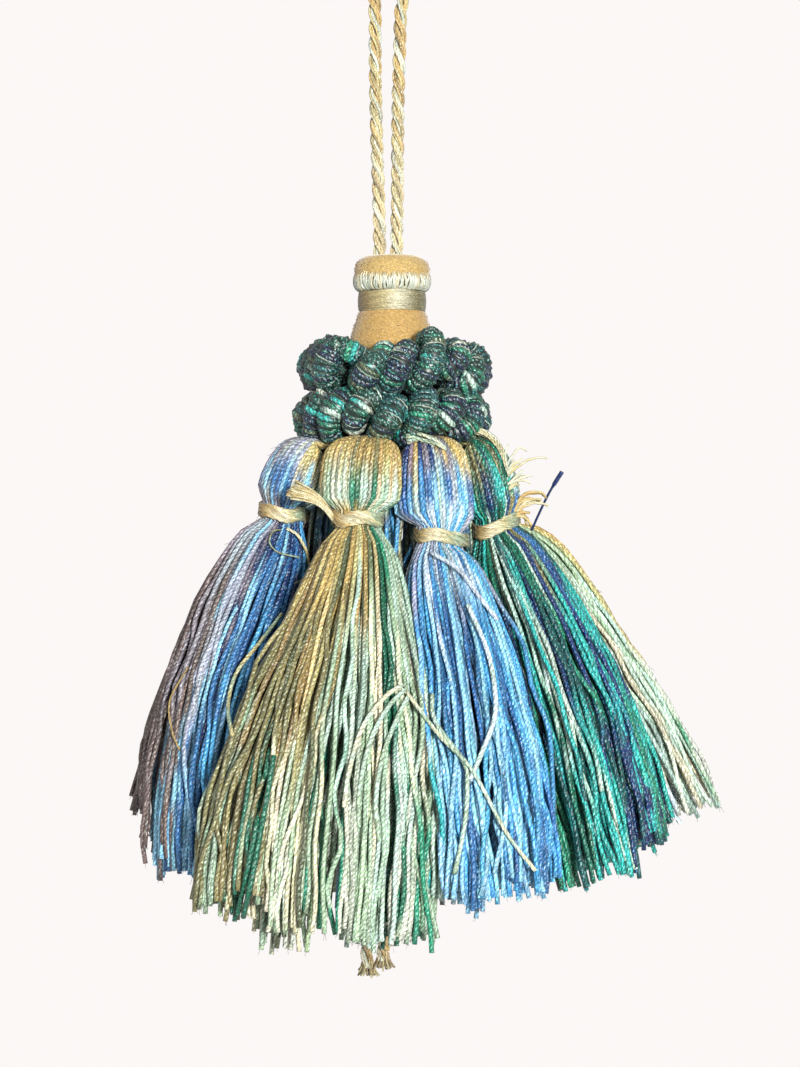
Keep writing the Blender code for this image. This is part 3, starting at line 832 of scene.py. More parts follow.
def head_cover():
    """The mould's cover as one turned skin, in the same form as a set of tubes."""
    outline, row_dyes = head_outline()
    rows = len(outline)
    azimuth = 360 * np.arange(HEAD_SIDES) / HEAD_SIDES
    places = polar(azimuth[None], outline[:, :1], outline[:, 2:])
    number = np.arange(rows * HEAD_SIDES).reshape(rows, HEAD_SIDES)
    upper, lower = number[:-1], number[1:]
    quads = np.stack([np.roll(upper, -1, 1), upper, lower, np.roll(lower, -1, 1)], axis=-1)
    caps = np.stack([number[0], number[-1, ::-1]])
    down = lengths_along(outline[None])[0]
    step = HEAD_GRAIN / HEAD_SIDES
    side = step * np.arange(HEAD_SIDES)
    corner_u = np.stack([side + step, side, side, side + step], axis=-1)[None]
    corner_v = np.stack([down[:-1], down[:-1], down[1:], down[1:]], axis=-1)[:, None]
    corners = np.stack(np.broadcast_arrays(corner_u, corner_v), axis=-1).reshape(-1, 2)
    coordinates = np.concatenate([corners, np.zeros((2 * HEAD_SIDES, 2))])
    dyes = np.broadcast_to(row_dyes[:, None], (rows, HEAD_SIDES, 3))
    dyes = np.concatenate([dyes, np.zeros((rows, HEAD_SIDES, 1))], axis=-1)
    return dict(places=places.reshape(-1, 3), quads=quads.reshape(-1, 4), caps=caps,
                coordinates=coordinates, dyes=dyes.reshape(-1, 4))


def head_pile(rng):
    """Short fibres that stand off the gold parts of the head."""
    outline, row_dyes = head_outline()
    heights = np.concatenate([rng.uniform(low, high, round(PILE_COUNT * share))
                              for high, low, share in PILE_RANGES])
    count = len(heights)
    order = np.argsort(outline[:, 2])
    radius = np.interp(heights, outline[order, 2], outline[order, 0])
    azimuth = rng.uniform(0, 360, count)
    lean = rng.normal(0, 1, (count, 3))
    out = polar(azimuth, 1.0, 0.0)
    root = polar(azimuth, radius - PILE_ROOT_DEPTH, heights)
    tip = root + PILE_LENGTH * rng.uniform(0.4, 1.0, (count, 1)) * unit(0.25 * out + 0.6 * lean)
    middle = (root + tip) / 2 + out * PILE_ARCH
    lines = smooth_lines(np.stack([root, middle, tip], axis=1), 1)
    tone = rng.normal(PILE_TONE, PILE_TONE_RANGE, (count, 1, 1))
    return tubes(lines, PILE_RADIUS, dye("honey") * tone, 3)


def make_head():
    """The mould's gold cover with its pile, and the upright threads round the drum."""
    rng = np.random.default_rng(21)
    strand_object("head_cover", [head_cover(), head_pile(rng)], "pile", "head")
    azimuth = 360 * (np.arange(DRUM_THREADS) + rng.normal(0, 0.12, DRUM_THREADS)) / DRUM_THREADS
    route = np.array(DRUM_THREAD_ROUTE)
    start = rng.normal(DRUM_THREAD_START, DRUM_THREAD_START_RANGE, (DRUM_THREADS, 1))
    start = start * np.linspace(1, 0, len(route))
    azimuth = azimuth[:, None] + rng.normal(0, 0.8, (DRUM_THREADS, len(route)))
    lines = smooth_lines(polar(azimuth, route[:, 1], route[:, 0] + start), 2)
    dyes = dyes_of(rng.choice(["silver", "silver", "silver", "cream"], DRUM_THREADS))
    dyes = dyes * rng.normal(1, 0.07, (DRUM_THREADS, 1))
    turned = smoothstep(np.linspace(0, 1 / DRUM_GOLD_SHARE, lines.shape[1]))[:, None]
    dyes = mix(dye("gold"), dyes[:, None], turned)
    threads = tubes(lines, DRUM_THREAD_RADIUS, dyes, 5)
    strand_object("drum_threads", [threads], "satin")


make_head()

BAND_TURNS = 17
BAND_THREAD_RADIUS = 0.17
BAND_TOP_Z = -55.75
BAND_BOTTOM_Z = -58.65
BAND_RADIUS = 4.85
BAND_BULGE = 0.14
BAND_START_AZIMUTH = 160
# Olive and gold are the thread's dyes; the cream where the band faces the front is a painted highlight.
BAND_DYES_AND_HIGHLIGHT = (("olive", -110), ("old_gold", -52), ("straw", -14), ("cream", 8), ("olive", 44),
             ("olive", 110))


def make_neck_band():
    """Thread wound round the neck between the drum and the bell."""
    rng = np.random.default_rng(31)
    share = np.linspace(0, 1, BAND_TURNS * 36 + 1)[None]
    azimuth = 360 * BAND_TURNS * share + BAND_START_AZIMUTH
    height = mix(BAND_TOP_Z, BAND_BOTTOM_Z, share) + 0.07 * wave_noise(rng, 1, share * 11, 7)
    lines = polar(azimuth, BAND_RADIUS + BAND_BULGE * np.sin(math.pi * share), height)
    tone = 0.9 + 0.10 * wave_noise(rng, 1, share * 15, 7)[..., None]
    # Its dyes round the neck, with a painted highlight where it faces the front.
    thread = tubes(lines, BAND_THREAD_RADIUS, round_dyes(azimuth, BAND_DYES_AND_HIGHLIGHT) * tone, 6)
    strand_object("wound_neck_band", [thread], "satin", "neck_band")


make_neck_band()

# ---- ruff ----------------------------------------------------------------------------------

RUFF_COILS = 34
RUFF_COIL_PHASE = 0.25
COILS_PER_WAVE = 9  # how soon the coils differ in size and place
GIMP_RADIUS = 2.06
COIL_REACH, COIL_REACH_RANGE = 1.9, 0.09
COIL_RISE, COIL_RISE_RANGE = 2.2, 0.12
COIL_LIFT_RANGE = 0.45
COIL_AZIMUTH_RANGE = 2.2
WRAP_RADIUS = 0.46
WRAP_PITCH = 0.70
WRAP_SIDES = 5
CORE_SIDES = 10
CORE_STEP = 10  # places of the yarn's line for each of the core's
CORE_RISE = 0.22
# The core's dye is darkened as painted shade in the grooves between the wraps.
CORE_PAINTED_SHADE = 0.4
LOBE_SWELL = 0.13  # how much fatter the cord is on the outside of its coils
POINTS_PER_WRAP = 12
RUFF_DYE_BLEND = 0.8
FINE_THREAD_COUNT = 190
FINE_THREAD_POINTS = 10
FINE_THREAD_RADIUS = 0.16
FINE_THREAD_RISE = 0.27
FINE_THREAD_SHADE = 0.7
# Painted shade on the wraps' dyes: darkest between the coils, lightest on their fronts.
RUFF_PAINTED_DARKEST, RUFF_PAINTED_LIGHTEST = 0.28, 1.08  # of a dye, deep between the coils and on their fronts
RUFF_DYES_AND_HIGHLIGHTS = [  # dye, share of the stretches that have it, length of a stretch
    ("pine", 0.20, 11.0),
    ("dark_teal", 0.12, 9.0),
    ("deep_green", 0.13, 8.0),
    ("midnight", 0.17, 13.0),
    ("teal", 0.10, 3.4),
    ("moss", 0.07, 6.0),
    ("green", 0.07, 5.0),
    # The short silver and mist stretches are partly pale wraps of the yarn and partly painted highlight.
    ("silver", 0.07, 1.6),
    ("mist", 0.07, 2.2),
]
# How the upper turn's coils lie beside even ones: further on, higher up and further in.
RUFF_SHIFTS = [  # azimuth along the rope, degrees further on, up, inwards
    (612.0, 0.0, 0.0, 0.0),
    (640.0, -2.0, -0.2, 1.5),
    (664.0, -3.0, -0.2, 0.9),
    (680.0, -1.0, 0.3, 0.3),
    (684.0, 11.0, -1.5, 0.0),
    (700.0, 13.0, -1.5, 0.0),
    (704.0, 12.0, 0.2, 0.0),
    (719.0, 13.0, 0.5, 0.0),
    (724.0, 12.0, 0.3, 0.0),
    (740.0, 12.0, 0.6, 0.0),
    (760.0, 11.0, 0.2, 0.0),
    (780.0, 7.0, -1.7, 0.2),
    (812.0, 0.0, 0.0, 0.0),
]


def ruff_centre(azimuth):
    """Centre of the ruff's rope: two level turns, with the step between them at the back."""
    step = smoothstep((azimuth - RUFF_RISE_FROM) / (RUFF_RISE_TO - RUFF_RISE_FROM))
    wave = np.cos(np.radians(RUFF_WAVES * (azimuth - RUFF_WAVE_AZIMUTH)))
    return polar(azimuth, RUFF_RADIUS, RUFF_LOWER_Z + RUFF_TURN_RISE * step
                 + RUFF_WAVE_HEIGHT * wave)


def gimp_line(rng):
    """The thick cord that is coiled round into the ruff's rope."""
    span = RUFF_END_AZIMUTH - RUFF_START_AZIMUTH
    share = np.linspace(0, 1, RUFF_COILS * 40 + 1)
    angle = TURN * (RUFF_COILS * share + RUFF_COIL_PHASE)
    azimuth = RUFF_START_AZIMUTH + span * share + RUFF_COIL_LEAN * np.sin(angle)
    from_end = np.minimum(azimuth - RUFF_START_AZIMUTH, RUFF_END_AZIMUTH - azimuth)
    taper = np.sin(math.pi / 2 * np.clip(RUFF_END_SHARE + from_end / RUFF_END_TAPER, 0, 1))
    uneven = wave_noise(rng, 4, share * RUFF_COILS / COILS_PER_WAVE, 9)
    reach = COIL_REACH * taper * (1 + COIL_REACH_RANGE * uneven[0])
    rise = COIL_RISE * taper * (1 + COIL_RISE_RANGE * uneven[2])
    at, onward, up, inward = np.array(RUFF_SHIFTS).T
    lift = COIL_LIFT_RANGE * uneven[1] * taper + np.interp(azimuth, at, up)
    inset = np.interp(azimuth, at, inward)
    azimuth = azimuth + COIL_AZIMUTH_RANGE * uneven[3] + np.interp(azimuth, at, onward)
    upward = np.array([0.0, 0.0, 1.0])
    return (ruff_centre(azimuth)
            + polar(azimuth, 1.0, 0.0) * (reach * np.cos(angle) - inset)[:, None]
            + upward * (rise * np.sin(angle) + lift)[:, None])


def stretch_dyes(rng, down, table, blend):
    """Dyes that follow each other along a long yarn, in stretches of random length."""
    names, weights, stretches = zip(*table)
    count = int(down[-1] / np.dot(weights, stretches) * 2) + 4
    picks = rng.choice(len(names), count, p=np.array(weights) / sum(weights))
    ends = np.cumsum(rng.gamma(2.0, np.array(stretches)[picks] / 2))
    colours = dyes_of(names)[picks]
    index = np.minimum(np.searchsorted(ends, down), count - 2)
    share = smoothstep(1 - (ends[index] - down) / blend)
    return mix(colours[index], colours[index + 1], share[:, None])


def fine_threads(rng, line, angle, reach):
    """Short stretches of a fine pale thread, wound with the yarn in the grooves between its wraps."""
    wound = line + circle_offsets(line, angle + math.pi, 1.0) * (reach + FINE_THREAD_RISE)[..., None]
    starts = rng.integers(0, line.shape[1] - FINE_THREAD_POINTS, FINE_THREAD_COUNT)
    lines = wound[0, starts[:, None] + np.arange(FINE_THREAD_POINTS)]
    names = rng.choice(["silver", "mist", "moss", "sage"], FINE_THREAD_COUNT)
    dyes = dyes_of(names)[:, None] * FINE_THREAD_SHADE
    taper = np.sin(np.linspace(0.2, math.pi - 0.2, FINE_THREAD_POINTS)) ** 0.5
    return tubes(lines, FINE_THREAD_RADIUS * taper, dyes, 3)


def make_ruff():
    """The coiled cord and the variegated yarn wrapped closely round it."""
    rng = np.random.default_rng(41)
    coarse = gimp_line(rng)
    down = lengths_along(coarse[None])[0]
    wraps = round(down[-1] / WRAP_PITCH)
    even = np.linspace(0, down[-1], wraps * POINTS_PER_WRAP + 1)
    line = np.stack([np.interp(even, down, coarse[:, axis]) for axis in range(3)], axis=-1)[None]
    thick = 1 + 0.05 * wave_noise(rng, 1, even / 14, 6)
    angle = (TURN * even / WRAP_PITCH)[None] + 0.8 * wave_noise(rng, 1, even / 9, 6)
    plump = WRAP_RADIUS * (1 + 0.18 * wave_noise(rng, 1, even / 5, 8))
    thick += LOBE_SWELL * np.cos(TURN * (RUFF_COILS * even / down[-1] + RUFF_COIL_PHASE))
    reach = (GIMP_RADIUS - WRAP_RADIUS) * thick
    lines = line + circle_offsets(line, angle, 1.0) * reach[..., None]

    # Painted shade: each wrap's dye darkens where it faces in between the coils and lightens where it
    # faces out.
    radial = unit(line * (1.0, 1.0, 0.0))
    outward = np.sum((lines - line) / reach[..., None] * radial, axis=-1)[0]
    shade = mix(RUFF_PAINTED_DARKEST, RUFF_PAINTED_LIGHTEST, smoothstep(0.4 + 0.6 * outward))
    dyes = stretch_dyes(rng, lengths_along(lines)[0], RUFF_DYES_AND_HIGHLIGHTS, RUFF_DYE_BLEND) * shade[:, None]
    core_radius = reach[:, ::CORE_STEP] + CORE_RISE
    # The core under the wraps has its dye darkened as painted shade.
    parts = [tubes(lines, plump, dyes[None], WRAP_SIDES),
             tubes(line[:, ::CORE_STEP], core_radius, dye("pine") * CORE_PAINTED_SHADE, CORE_SIDES),
             fine_threads(rng, line, angle, reach)]
    strand_object("wrapped_ruff", parts, "wrap", "ruff")


make_ruff()

BUNDLE_RING_LAY = 3.1
BUNDLE_RING_DYES = "gold sage"


def make_bundle_ring():
    """The two-ply cord that strings the small tassels."""
    rng = np.random.default_rng(51)
    azimuth = np.linspace(0, 362, 240)[None]
    down = BUNDLE_RING_RADIUS * np.radians(azimuth)
    offset = BUNDLE_RING_THICKNESS / 4
    lines = []
    for ply in range(2):
        turn = TURN * down / BUNDLE_RING_LAY + math.pi * ply
        lines.append(polar(azimuth, BUNDLE_RING_RADIUS + offset * np.cos(turn),
                           BUNDLE_RING_Z + offset * np.sin(turn)))
    tone = 1 + 0.1 * wave_noise(rng, 2, down / 30, 4)[..., None]
    dyes = dyes_of(BUNDLE_RING_DYES)[:, None] * tone
    plies = tubes(np.concatenate(lines), offset * 1.1, dyes, 6)
    strand_object("twisted_bundle_ring", [plies], "cord_yarn", "bundle_ring")


make_bundle_ring()

# ---- small tassels -------------------------------------------------------------------------

YARN_RADIUS = 0.36
RIM_CROWDING = 0.38
YARN_SIDES = 5
# How many yarns each small tassel has, their slot and their material. The green ones are bright
# yarns, which differ more in shade along their filaments.
YARN_SETS = {
    "front_left": (250, "yarn_cream", "yarn"),
    "front_right": (215, "yarn_blue", "yarn"),
    "right": (220, "yarn_green", "bright_yarn"),
    "right_back": (190, "yarn_cream", "yarn"),
    "back_right": (185, "yarn_blue", "yarn"),
    "back_left": (185, "yarn_green", "bright_yarn"),
    "left_back": (185, "yarn_taupe", "yarn"),
    "left": (210, "yarn_blue", "yarn"),
}
FIRST_YARN_SEED = 100
CLUMPS = 22
CLUMP_SCATTER = 0.08
CLUMP_PULL = 0.31
CLUMP_SHIFT = 0.055
CLUMP_END, CLUMP_END_LIMIT = 1.2, 1.8  # how far the clumps end from an even hem
YARN_END = 0.45
# Short fibres stray off each small tassel's yarns, and off their cut ends.
FIBRES = 300
FIBRE_LENGTH = 2.2
FIBRE_RADIUS = 0.03
END_FIBRES = 200
END_FIBRE_LENGTH = 0.5
# How much further a small tassel spreads than the part's does, as it is seen from the front: its
# skirt at these shares of the way down, and its head just above the tie.
SPREAD_DROPS = (0.08, 0.20, 0.42, 0.60, 0.84, 1.00)
SPREAD_COLUMNS = ("head_left", "head_right", "left", "right")
EXTRA_SPREADS = {
    "front_left": (0.0, 0.4, (-0.4, -0.8, 1.0, 2.4, 3.8, 3.2), (0.8, 1.4, 3.5, 4.0, 3.1, 2.2)),
    "front_right": (1.5, 0.2, (1.8, 2.4, 2.5, 2.4, 2.2, 2.0), (0.2, 0.2, 0.2, 0.2, 0.0, -0.6)),
    "right": (0.8, 0.0, (2.8, 3.0, 2.2, 1.6, 1.2, 0.8), (0.8, 1.2, 1.2, 1.0, 0.6, 0.0)),
    "right_back": (0.0, 0.0, (0.0,) * 6, (3.4, 3.4, 1.8, 1.0, 0.4, 0.2)),
    "back_right": (0.3, 0.3, (0.6,) * 6, (0.6,) * 6),
    "back_left": (0.3, 0.3, (0.6,) * 6, (0.6,) * 6),
    "left_back": (0.0, 0.0, (0.8, 1.0, 0.8, 0.4, -0.4, -1.2), (0.0,) * 6),
    "left": (0.2, 0.8, (1.6, 2.0, 1.4, 0.7, -0.5, -1.4), (2.2, 2.4, 1.8, 1.4, 1.2, 1.0)),
}
# How the cut ends lie: lower by so much at each place from the small tassel's left to its right.
HEM_PROFILES = {
    "front_left": [(-1.0, -1.4), (-0.46, -1.4), (-0.38, 2.0), (-0.02, 2.0), (0.04, -1.0),
                   (0.16, -0.6), (0.25, 0.4), (1.0, -1.0)],
    "front_right": [(-1.0, -1.8), (1.0, -2.2)],
    "right": [(-1.0, -0.8), (1.0, -1.2)],
    "left": [(-1.0, -7.0), (-0.84, -4.5), (-0.72, -0.8), (0.0, -1.2), (1.0, -0.6)],
    "left_back": [(-1.0, -1.0), (1.0, -2.0)],
}
# How far a tie drops from its middle to its right end, seen from the front, beside the part's.
TIE_DROPS = {"left": 0.5, "right": -0.5, "front_right": 0.4}
TIE_DROP_REACH = 4.0
OUTWARD_PUSH = 0.34
# Below the ties the yarns come loose, wander from their lines, and some cross their neighbours.
LOOSENING = 1.2
WANDER, WANDER_OUT = 0.26, 0.8  # how far to the sides, and the share of it outwards
WANDER_WAVES = 1.1
WANDER_ONSET = 2.5
CROSSING_SHARE = 0.08
CROSSING_REACH = 0.18
CROSSING_LIFT = 0.5
CROSSING_WAVE = 1.3
RING_REACH = 9.9
RING_HEIGHT = -78.9
RING_WIDTH_SHARE = 0.66
RING_HALF_DEPTH = 0.8
HEAD_STEPS = 2
NECK_STEPS = 1
SKIRT_STEPS = (2, 2, 2, 3, 4, 4, 4)
HEAD_YARN, NECK_YARN, SKIRT_TOP_YARN = 1.0, 0.60, 0.7  # how thick, beside the yarn's radius
SKIRT_YARN_GROWTH = 2.5
LEVEL_HEM = [(0.0, 0.0)]


def station_rows(row):
    """Stations down a small tassel, as dicts: place, half sizes, roll, and share of the skirt."""
    lean = math.radians(TIE_LEAN)
    neck_drop = YARN_NECK_HALF_LENGTH * math.cos(lean)
    neck_reach = YARN_NECK_HALF_LENGTH * math.sin(lean)
    neck_top = (row["tie_reach"] - neck_reach, row["tie_z"] + neck_drop)
    neck_bottom = (row["tie_reach"] + neck_reach, row["tie_z"] - neck_drop)
    fold_reach = row["head_reach"] - row["fold_inset"]
    stations = [dict(reach=RING_REACH, height=RING_HEIGHT, azimuth=row["head_azimuth"], roll=0.0,
                     half_width=RING_WIDTH_SHARE * row["head_half_width"],
                     half_depth=RING_HALF_DEPTH, drop=0.0, bulge=0.0, yarn=HEAD_YARN, neck=False)]
    for drop, width, depth in HEAD_STATIONS:
        bow = HEAD_BOW * math.sin(math.pi * drop)
        stations.append(dict(
            reach=mix(fold_reach, neck_top[0], drop) + bow,
            height=mix(FOLD_Z, neck_top[1], drop),
            azimuth=row["head_azimuth"], roll=row["tie_roll"] * drop,
            half_width=row["head_half_width"] * width, half_depth=HEAD_HALF_DEPTH * depth,
            drop=0.0, bulge=smoothstep(1.5 * drop), yarn=HEAD_YARN, neck=False))
    for reach, height in (neck_top, neck_bottom):
        stations.append(dict(
            reach=reach, height=height, azimuth=row["head_azimuth"], roll=row["tie_roll"],
            half_width=NECK_HALF_WIDTH, half_depth=NECK_HALF_DEPTH, drop=0.0, bulge=0.0,
            yarn=NECK_YARN, neck=True))
    for drop, spread in SKIRT_STATIONS:
        stations.append(dict(
            reach=mix(neck_bottom[0], row["hem_reach"], drop + row["bow"] * drop * (1 - drop)),
            height=mix(neck_bottom[1], row["hem_z"], drop),
            azimuth=mix(row["head_azimuth"], row["hem_azimuth"], spread),
            roll=row["tie_roll"] * (1 - drop),
            half_width=mix(NECK_HALF_WIDTH, row["hem_half_width"], spread),
            half_depth=mix(NECK_HALF_DEPTH, row["hem_half_depth"], spread),
            yarn=min(1.0, SKIRT_TOP_YARN + SKIRT_YARN_GROWTH * drop),
            drop=drop, bulge=0.0, neck=False))
    return stations


def bundle_stations(row):
    """The stations with their centre and their directions across, outwards and down."""
    stations = station_rows(row)
    last = len(stations) - 1
    for index, station in enumerate(stations):
        above = stations[max(0, index - 1)]
        below = stations[min(last, index + 1)]
        if station["neck"]:
            slope = math.radians(TIE_LEAN)
        else:
            slope = math.atan2(below["reach"] - above["reach"], above["height"] - below["height"])
        radial = polar(station["azimuth"], 1.0, 0.0)
        upright = np.array([0.0, 0.0, 1.0])
        down = radial * math.sin(slope) - upright * math.cos(slope)
        across = polar(station["azimuth"] + 90, 1.0, 0.0)
        station["centre"] = polar(station["azimuth"], station["reach"], station["height"])
        station["across"] = across - down * math.tan(math.radians(station["roll"]))
        station["down"] = down
        station["out"] = radial * math.cos(slope) + upright * math.sin(slope)
    return stations


def disk_places(count):
    """Places spread over a unit disk, closer together towards its rim."""
    index = np.arange(count) + 0.5
    angle = TURN * index * GOLDEN_SHARE
    reach = (index / count) ** RIM_CROWDING
    return np.stack([reach * np.cos(angle), reach * np.sin(angle)], axis=-1)


def seen_side(place, row):
    """How far places on a small tassel's disk are to its left or right, seen from the front."""
    facing = math.radians(row["head_azimuth"])
    return place[:, 0] * math.cos(facing) + place[:, 1] * math.sin(facing)


def wave_sum(waves, angle, phase):
    return sum(weight * np.sin(count * angle + turn * phase) for count, weight, turn in waves)


def hem_falls(row, rng, place, side, nearest):
    """How much lower than at a level hem each yarn ends."""
    angle = np.arctan2(place[:, 1], place[:, 0])
    uneven = HEM_UNEVENNESS * wave_sum(HEM_WAVES, angle, row["clump_phase"])
    falls = np.linalg.norm(place, axis=1) * (uneven - row["hem_rise"] * np.cos(angle))
    falls += np.clip(rng.normal(0, CLUMP_END, CLUMPS), -CLUMP_END_LIMIT, CLUMP_END_LIMIT)[nearest]
    falls += rng.normal(0, YARN_END, len(place))
    falls += np.interp(side, *np.array(HEM_PROFILES.get(row["name"], LEVEL_HEM)).T)
    return falls


def yarn_places(row, rng, place, stations):
    """Where each yarn is at each station."""
    count = len(place)
    clumps = disk_places(CLUMPS) + rng.normal(0, CLUMP_SCATTER, (CLUMPS, 2))
    nearest = np.argmin(np.linalg.norm(place[:, None] - clumps[None], axis=2), axis=1)
    shift = rng.normal(0, CLUMP_SHIFT, (CLUMPS, 2))[nearest]
    crossing = rng.random(count) < CROSSING_SHARE
    crossing_way = rng.choice([-1, 1], count) * crossing * CROSSING_REACH
    side = seen_side(place, row)
    spreads = dict(zip(SPREAD_COLUMNS, EXTRA_SPREADS[row["name"]]))
    head_extra = np.where(side < 0, spreads["head_left"], spreads["head_right"]) * side
    tie_drop = TIE_DROPS.get(row["name"], 0.0) * side
    falls = hem_falls(row, rng, place, side, nearest)
    points = []
    for station in stations:
        drop = station["drop"]
        loose = smoothstep(drop * LOOSENING)
        moved = place + (clumps[nearest] - place) * CLUMP_PULL * loose + shift * loose
        moved[:, 0] += crossing_way * np.sin(math.pi * drop * CROSSING_WAVE)
        moved[:, 1] += OUTWARD_PUSH * loose * (1 - np.linalg.norm(place, axis=1) ** 2)
        moved[:, 1] += crossing * CROSSING_LIFT * (1 - moved[:, 1]) * np.sin(math.pi * drop)
        yarn = YARN_RADIUS * station["yarn"]
        point = (station["centre"]
                 + station["across"] * ((station["half_width"] - yarn) * moved[:, :1])
                 + station["out"] * ((station["half_depth"] - yarn) * moved[:, 1:])
                 + station["down"] * (falls * drop ** 3)[:, None])
        point[:, 0] += head_extra * station["bulge"]
        left, right = (np.interp(drop, (0,) + SPREAD_DROPS, (0,) + spreads[key])
                       for key in ("left", "right"))
        point[:, 0] += np.where(side < 0, left, right) * side
        above_tie = station["height"] - row["tie_z"]
        point[:, 2] -= tie_drop * math.exp(-(above_tie / TIE_DROP_REACH) ** 2)
        points.append(point)
    return np.stack(points, axis=1)


def skirt_lines(row, rng, place):
    """The yarns' lines from the ring to the hem, and their radii."""
    stations = bundle_stations(row)
    points = yarn_places(row, rng, place, stations)
    neck_first = next(index for index, station in enumerate(stations) if station["neck"])
    steps = [HEAD_STEPS] * neck_first + [NECK_STEPS] + list(SKIRT_STEPS)
    lines = smooth_lines(points, steps)
    station_values = np.array([[(station["drop"], station["yarn"]) for station in stations]])
    drop, yarn = smooth_lines(station_values, steps)[0].T
    drop = np.clip(drop, 0, None)
    loose = WANDER * smoothstep(drop * WANDER_ONSET)[None, :, None]
    for direction, amount in ((stations[-1]["across"], 1.0), (stations[-1]["out"], WANDER_OUT)):
        wander = wave_noise(rng, len(place), drop * WANDER_WAVES, 4)[..., None]
        lines += direction * wander * loose * amount
    return lines, YARN_RADIUS * yarn


def streak_dyes(row, place, share, rng):
    """Each yarn's dyes down its length, drawn from the small tassel's streaks."""
    streaks = rows(STREAK_COLUMNS, STREAKS[row["name"]])
    across, spread, weight = (np.array([streak[key] for streak in streaks])
                              for key in ("across", "spread", "weight"))
    sequences = np.array([dyes_of(streak["dyes"]) for streak in streaks])
    offset = (seen_side(place, row)[:, None] - across) / spread
    drawn = []
    for _ in range(2):
        luck = rng.gumbel(0, STREAK_MIXING, (len(place), len(streaks)))
        sequence = sequences[np.argmax(np.log(weight) - offset ** 2 + luck, axis=1)]
        colours = np.broadcast_to(sequence[:, :1], (len(place), share.shape[-1], 3))
        for index, (change, sway, width) in enumerate(DYE_CHANGES):
            at = change + rng.normal(0, sway, (len(place), 1))
            amount = smoothstep((share - at) / width + 0.5)[..., None]
            colours = mix(colours, sequence[:, index + 1:index + 2], amount)
        drawn.append(colours)
    patches = smoothstep(wave_noise(rng, len(place), share * PATCH_WAVES, 6) - PATCH_LEVEL)
    colours = mix(drawn[0], drawn[1], patches[..., None])
    tone = rng.normal(1, TONE_RANGE, (len(place), 1, 1))
    drift = 1 + DRIFT_RANGE * wave_noise(rng, len(place), share * 3, 6)[..., None]
    hue = rng.normal(1, HUE_RANGE, (len(place), 1, 3))
    return np.clip(colours * tone * drift * hue, *DYE_LIMITS)


def surface_fibres(rng, lines, dyes, place):
    """Short fibres that stray off the outer yarns, with their dyes."""
    outer = np.hypot(place[:, 0], place[:, 1]) ** 4
    yarn = rng.choice(len(lines), FIBRES, p=outer / outer.sum())
    at = rng.integers(2, lines.shape[1] - 1, FIBRES)
    root = lines[yarn, at]
    along = unit(lines[yarn, at - 1] - root) * rng.choice([-1, 1], (FIBRES, 1))
    off = unit(rng.normal(0, 1, (FIBRES, 3)))
    reach = FIBRE_LENGTH * rng.uniform(0.4, 1.0, (FIBRES, 1))
    middle = root + along * reach * 0.5 + off * (YARN_RADIUS + 0.12)
    tip = root + along * reach + off * (YARN_RADIUS + reach * rng.uniform(0.1, 0.5, (FIBRES, 1)))
    return np.stack([root, middle, tip], axis=1), dyes[yarn, at]


def hem_fibres(rng, lines, dyes):
    """Short fibres that spread from the cut ends of yarns, with their dyes."""
    yarn = rng.integers(0, len(lines), END_FIBRES)
    root = lines[yarn, -1]
    along = unit(root - lines[yarn, -2])
    reach = END_FIBRE_LENGTH * rng.uniform(0.3, 1.0, (END_FIBRES, 1))
    off = rng.normal(0, 0.5 * YARN_RADIUS, (END_FIBRES, 3))
    middle = root + along * reach * 0.5 + off
    return np.stack([root - along * 0.5 + off * 0.5, middle, root + along * reach + 1.6 * off],
                    axis=1), dyes[yarn, -1]


def make_bundles():
    """The eight small tassels, each one piece of many yarns."""
    for index, row in enumerate(rows(BUNDLE_COLUMNS, BUNDLES)):
        rng = np.random.default_rng(FIRST_YARN_SEED + index)
        count, slot, material = YARN_SETS[row["name"]]
        place = disk_places(count)
        lines, radius = skirt_lines(row, rng, place)
        share = lengths_along(lines)
        share /= share[:, -1:]
        dyes = streak_dyes(row, place, share, rng)
        parts = [tubes(lines, radius[None], dyes, YARN_SIDES)]
        for fibres, fibre_dyes in (surface_fibres(rng, lines, dyes, place),
                                   hem_fibres(rng, lines, dyes)):
            parts.append(tubes(fibres, FIBRE_RADIUS, fibre_dyes[:, None], 3))
        strand_object("yarns_" + row["name"], parts, material, "bundle_" + row["name"])


make_bundles()

# ---- ties ----------------------------------------------------------------------------------

TIE_TURNS = 3
TIE_TURN_STEPS = 22
TIE_TURN_LENGTH = 26
TIE_FILAMENTS = 10
TIE_FILAMENT_RADIUS = 0.17
TIE_HALF_SPREAD = 0.45
TIE_HALF_THICKNESS = 0.26
TIE_TWIST = 6.0
TIE_GRIP = 0.15
TIE_WANDER, TIE_UNEVENNESS = 0.22, 0.12
TIE_DYE_SHIFT = 9  # degrees
TIE_TONE_RANGE = 0.2
# Gold to sage are the floss's dyes; the cream where it faces the front is a painted highlight.
TIE_DYES_AND_HIGHLIGHT = (("olive", -170), ("old_gold", -72), ("gold", -40), ("cream", -6), ("straw", 22),
            ("sage", 45), ("olive", 80))
FIRST_TIE_SEED = 200


def neck_place(row):
    """The middle of a small tassel's neck, and a station that has its directions."""
    upper, lower = [station for station in bundle_stations(row) if station["neck"]]
    return (upper["centre"] + lower["centre"]) / 2, upper


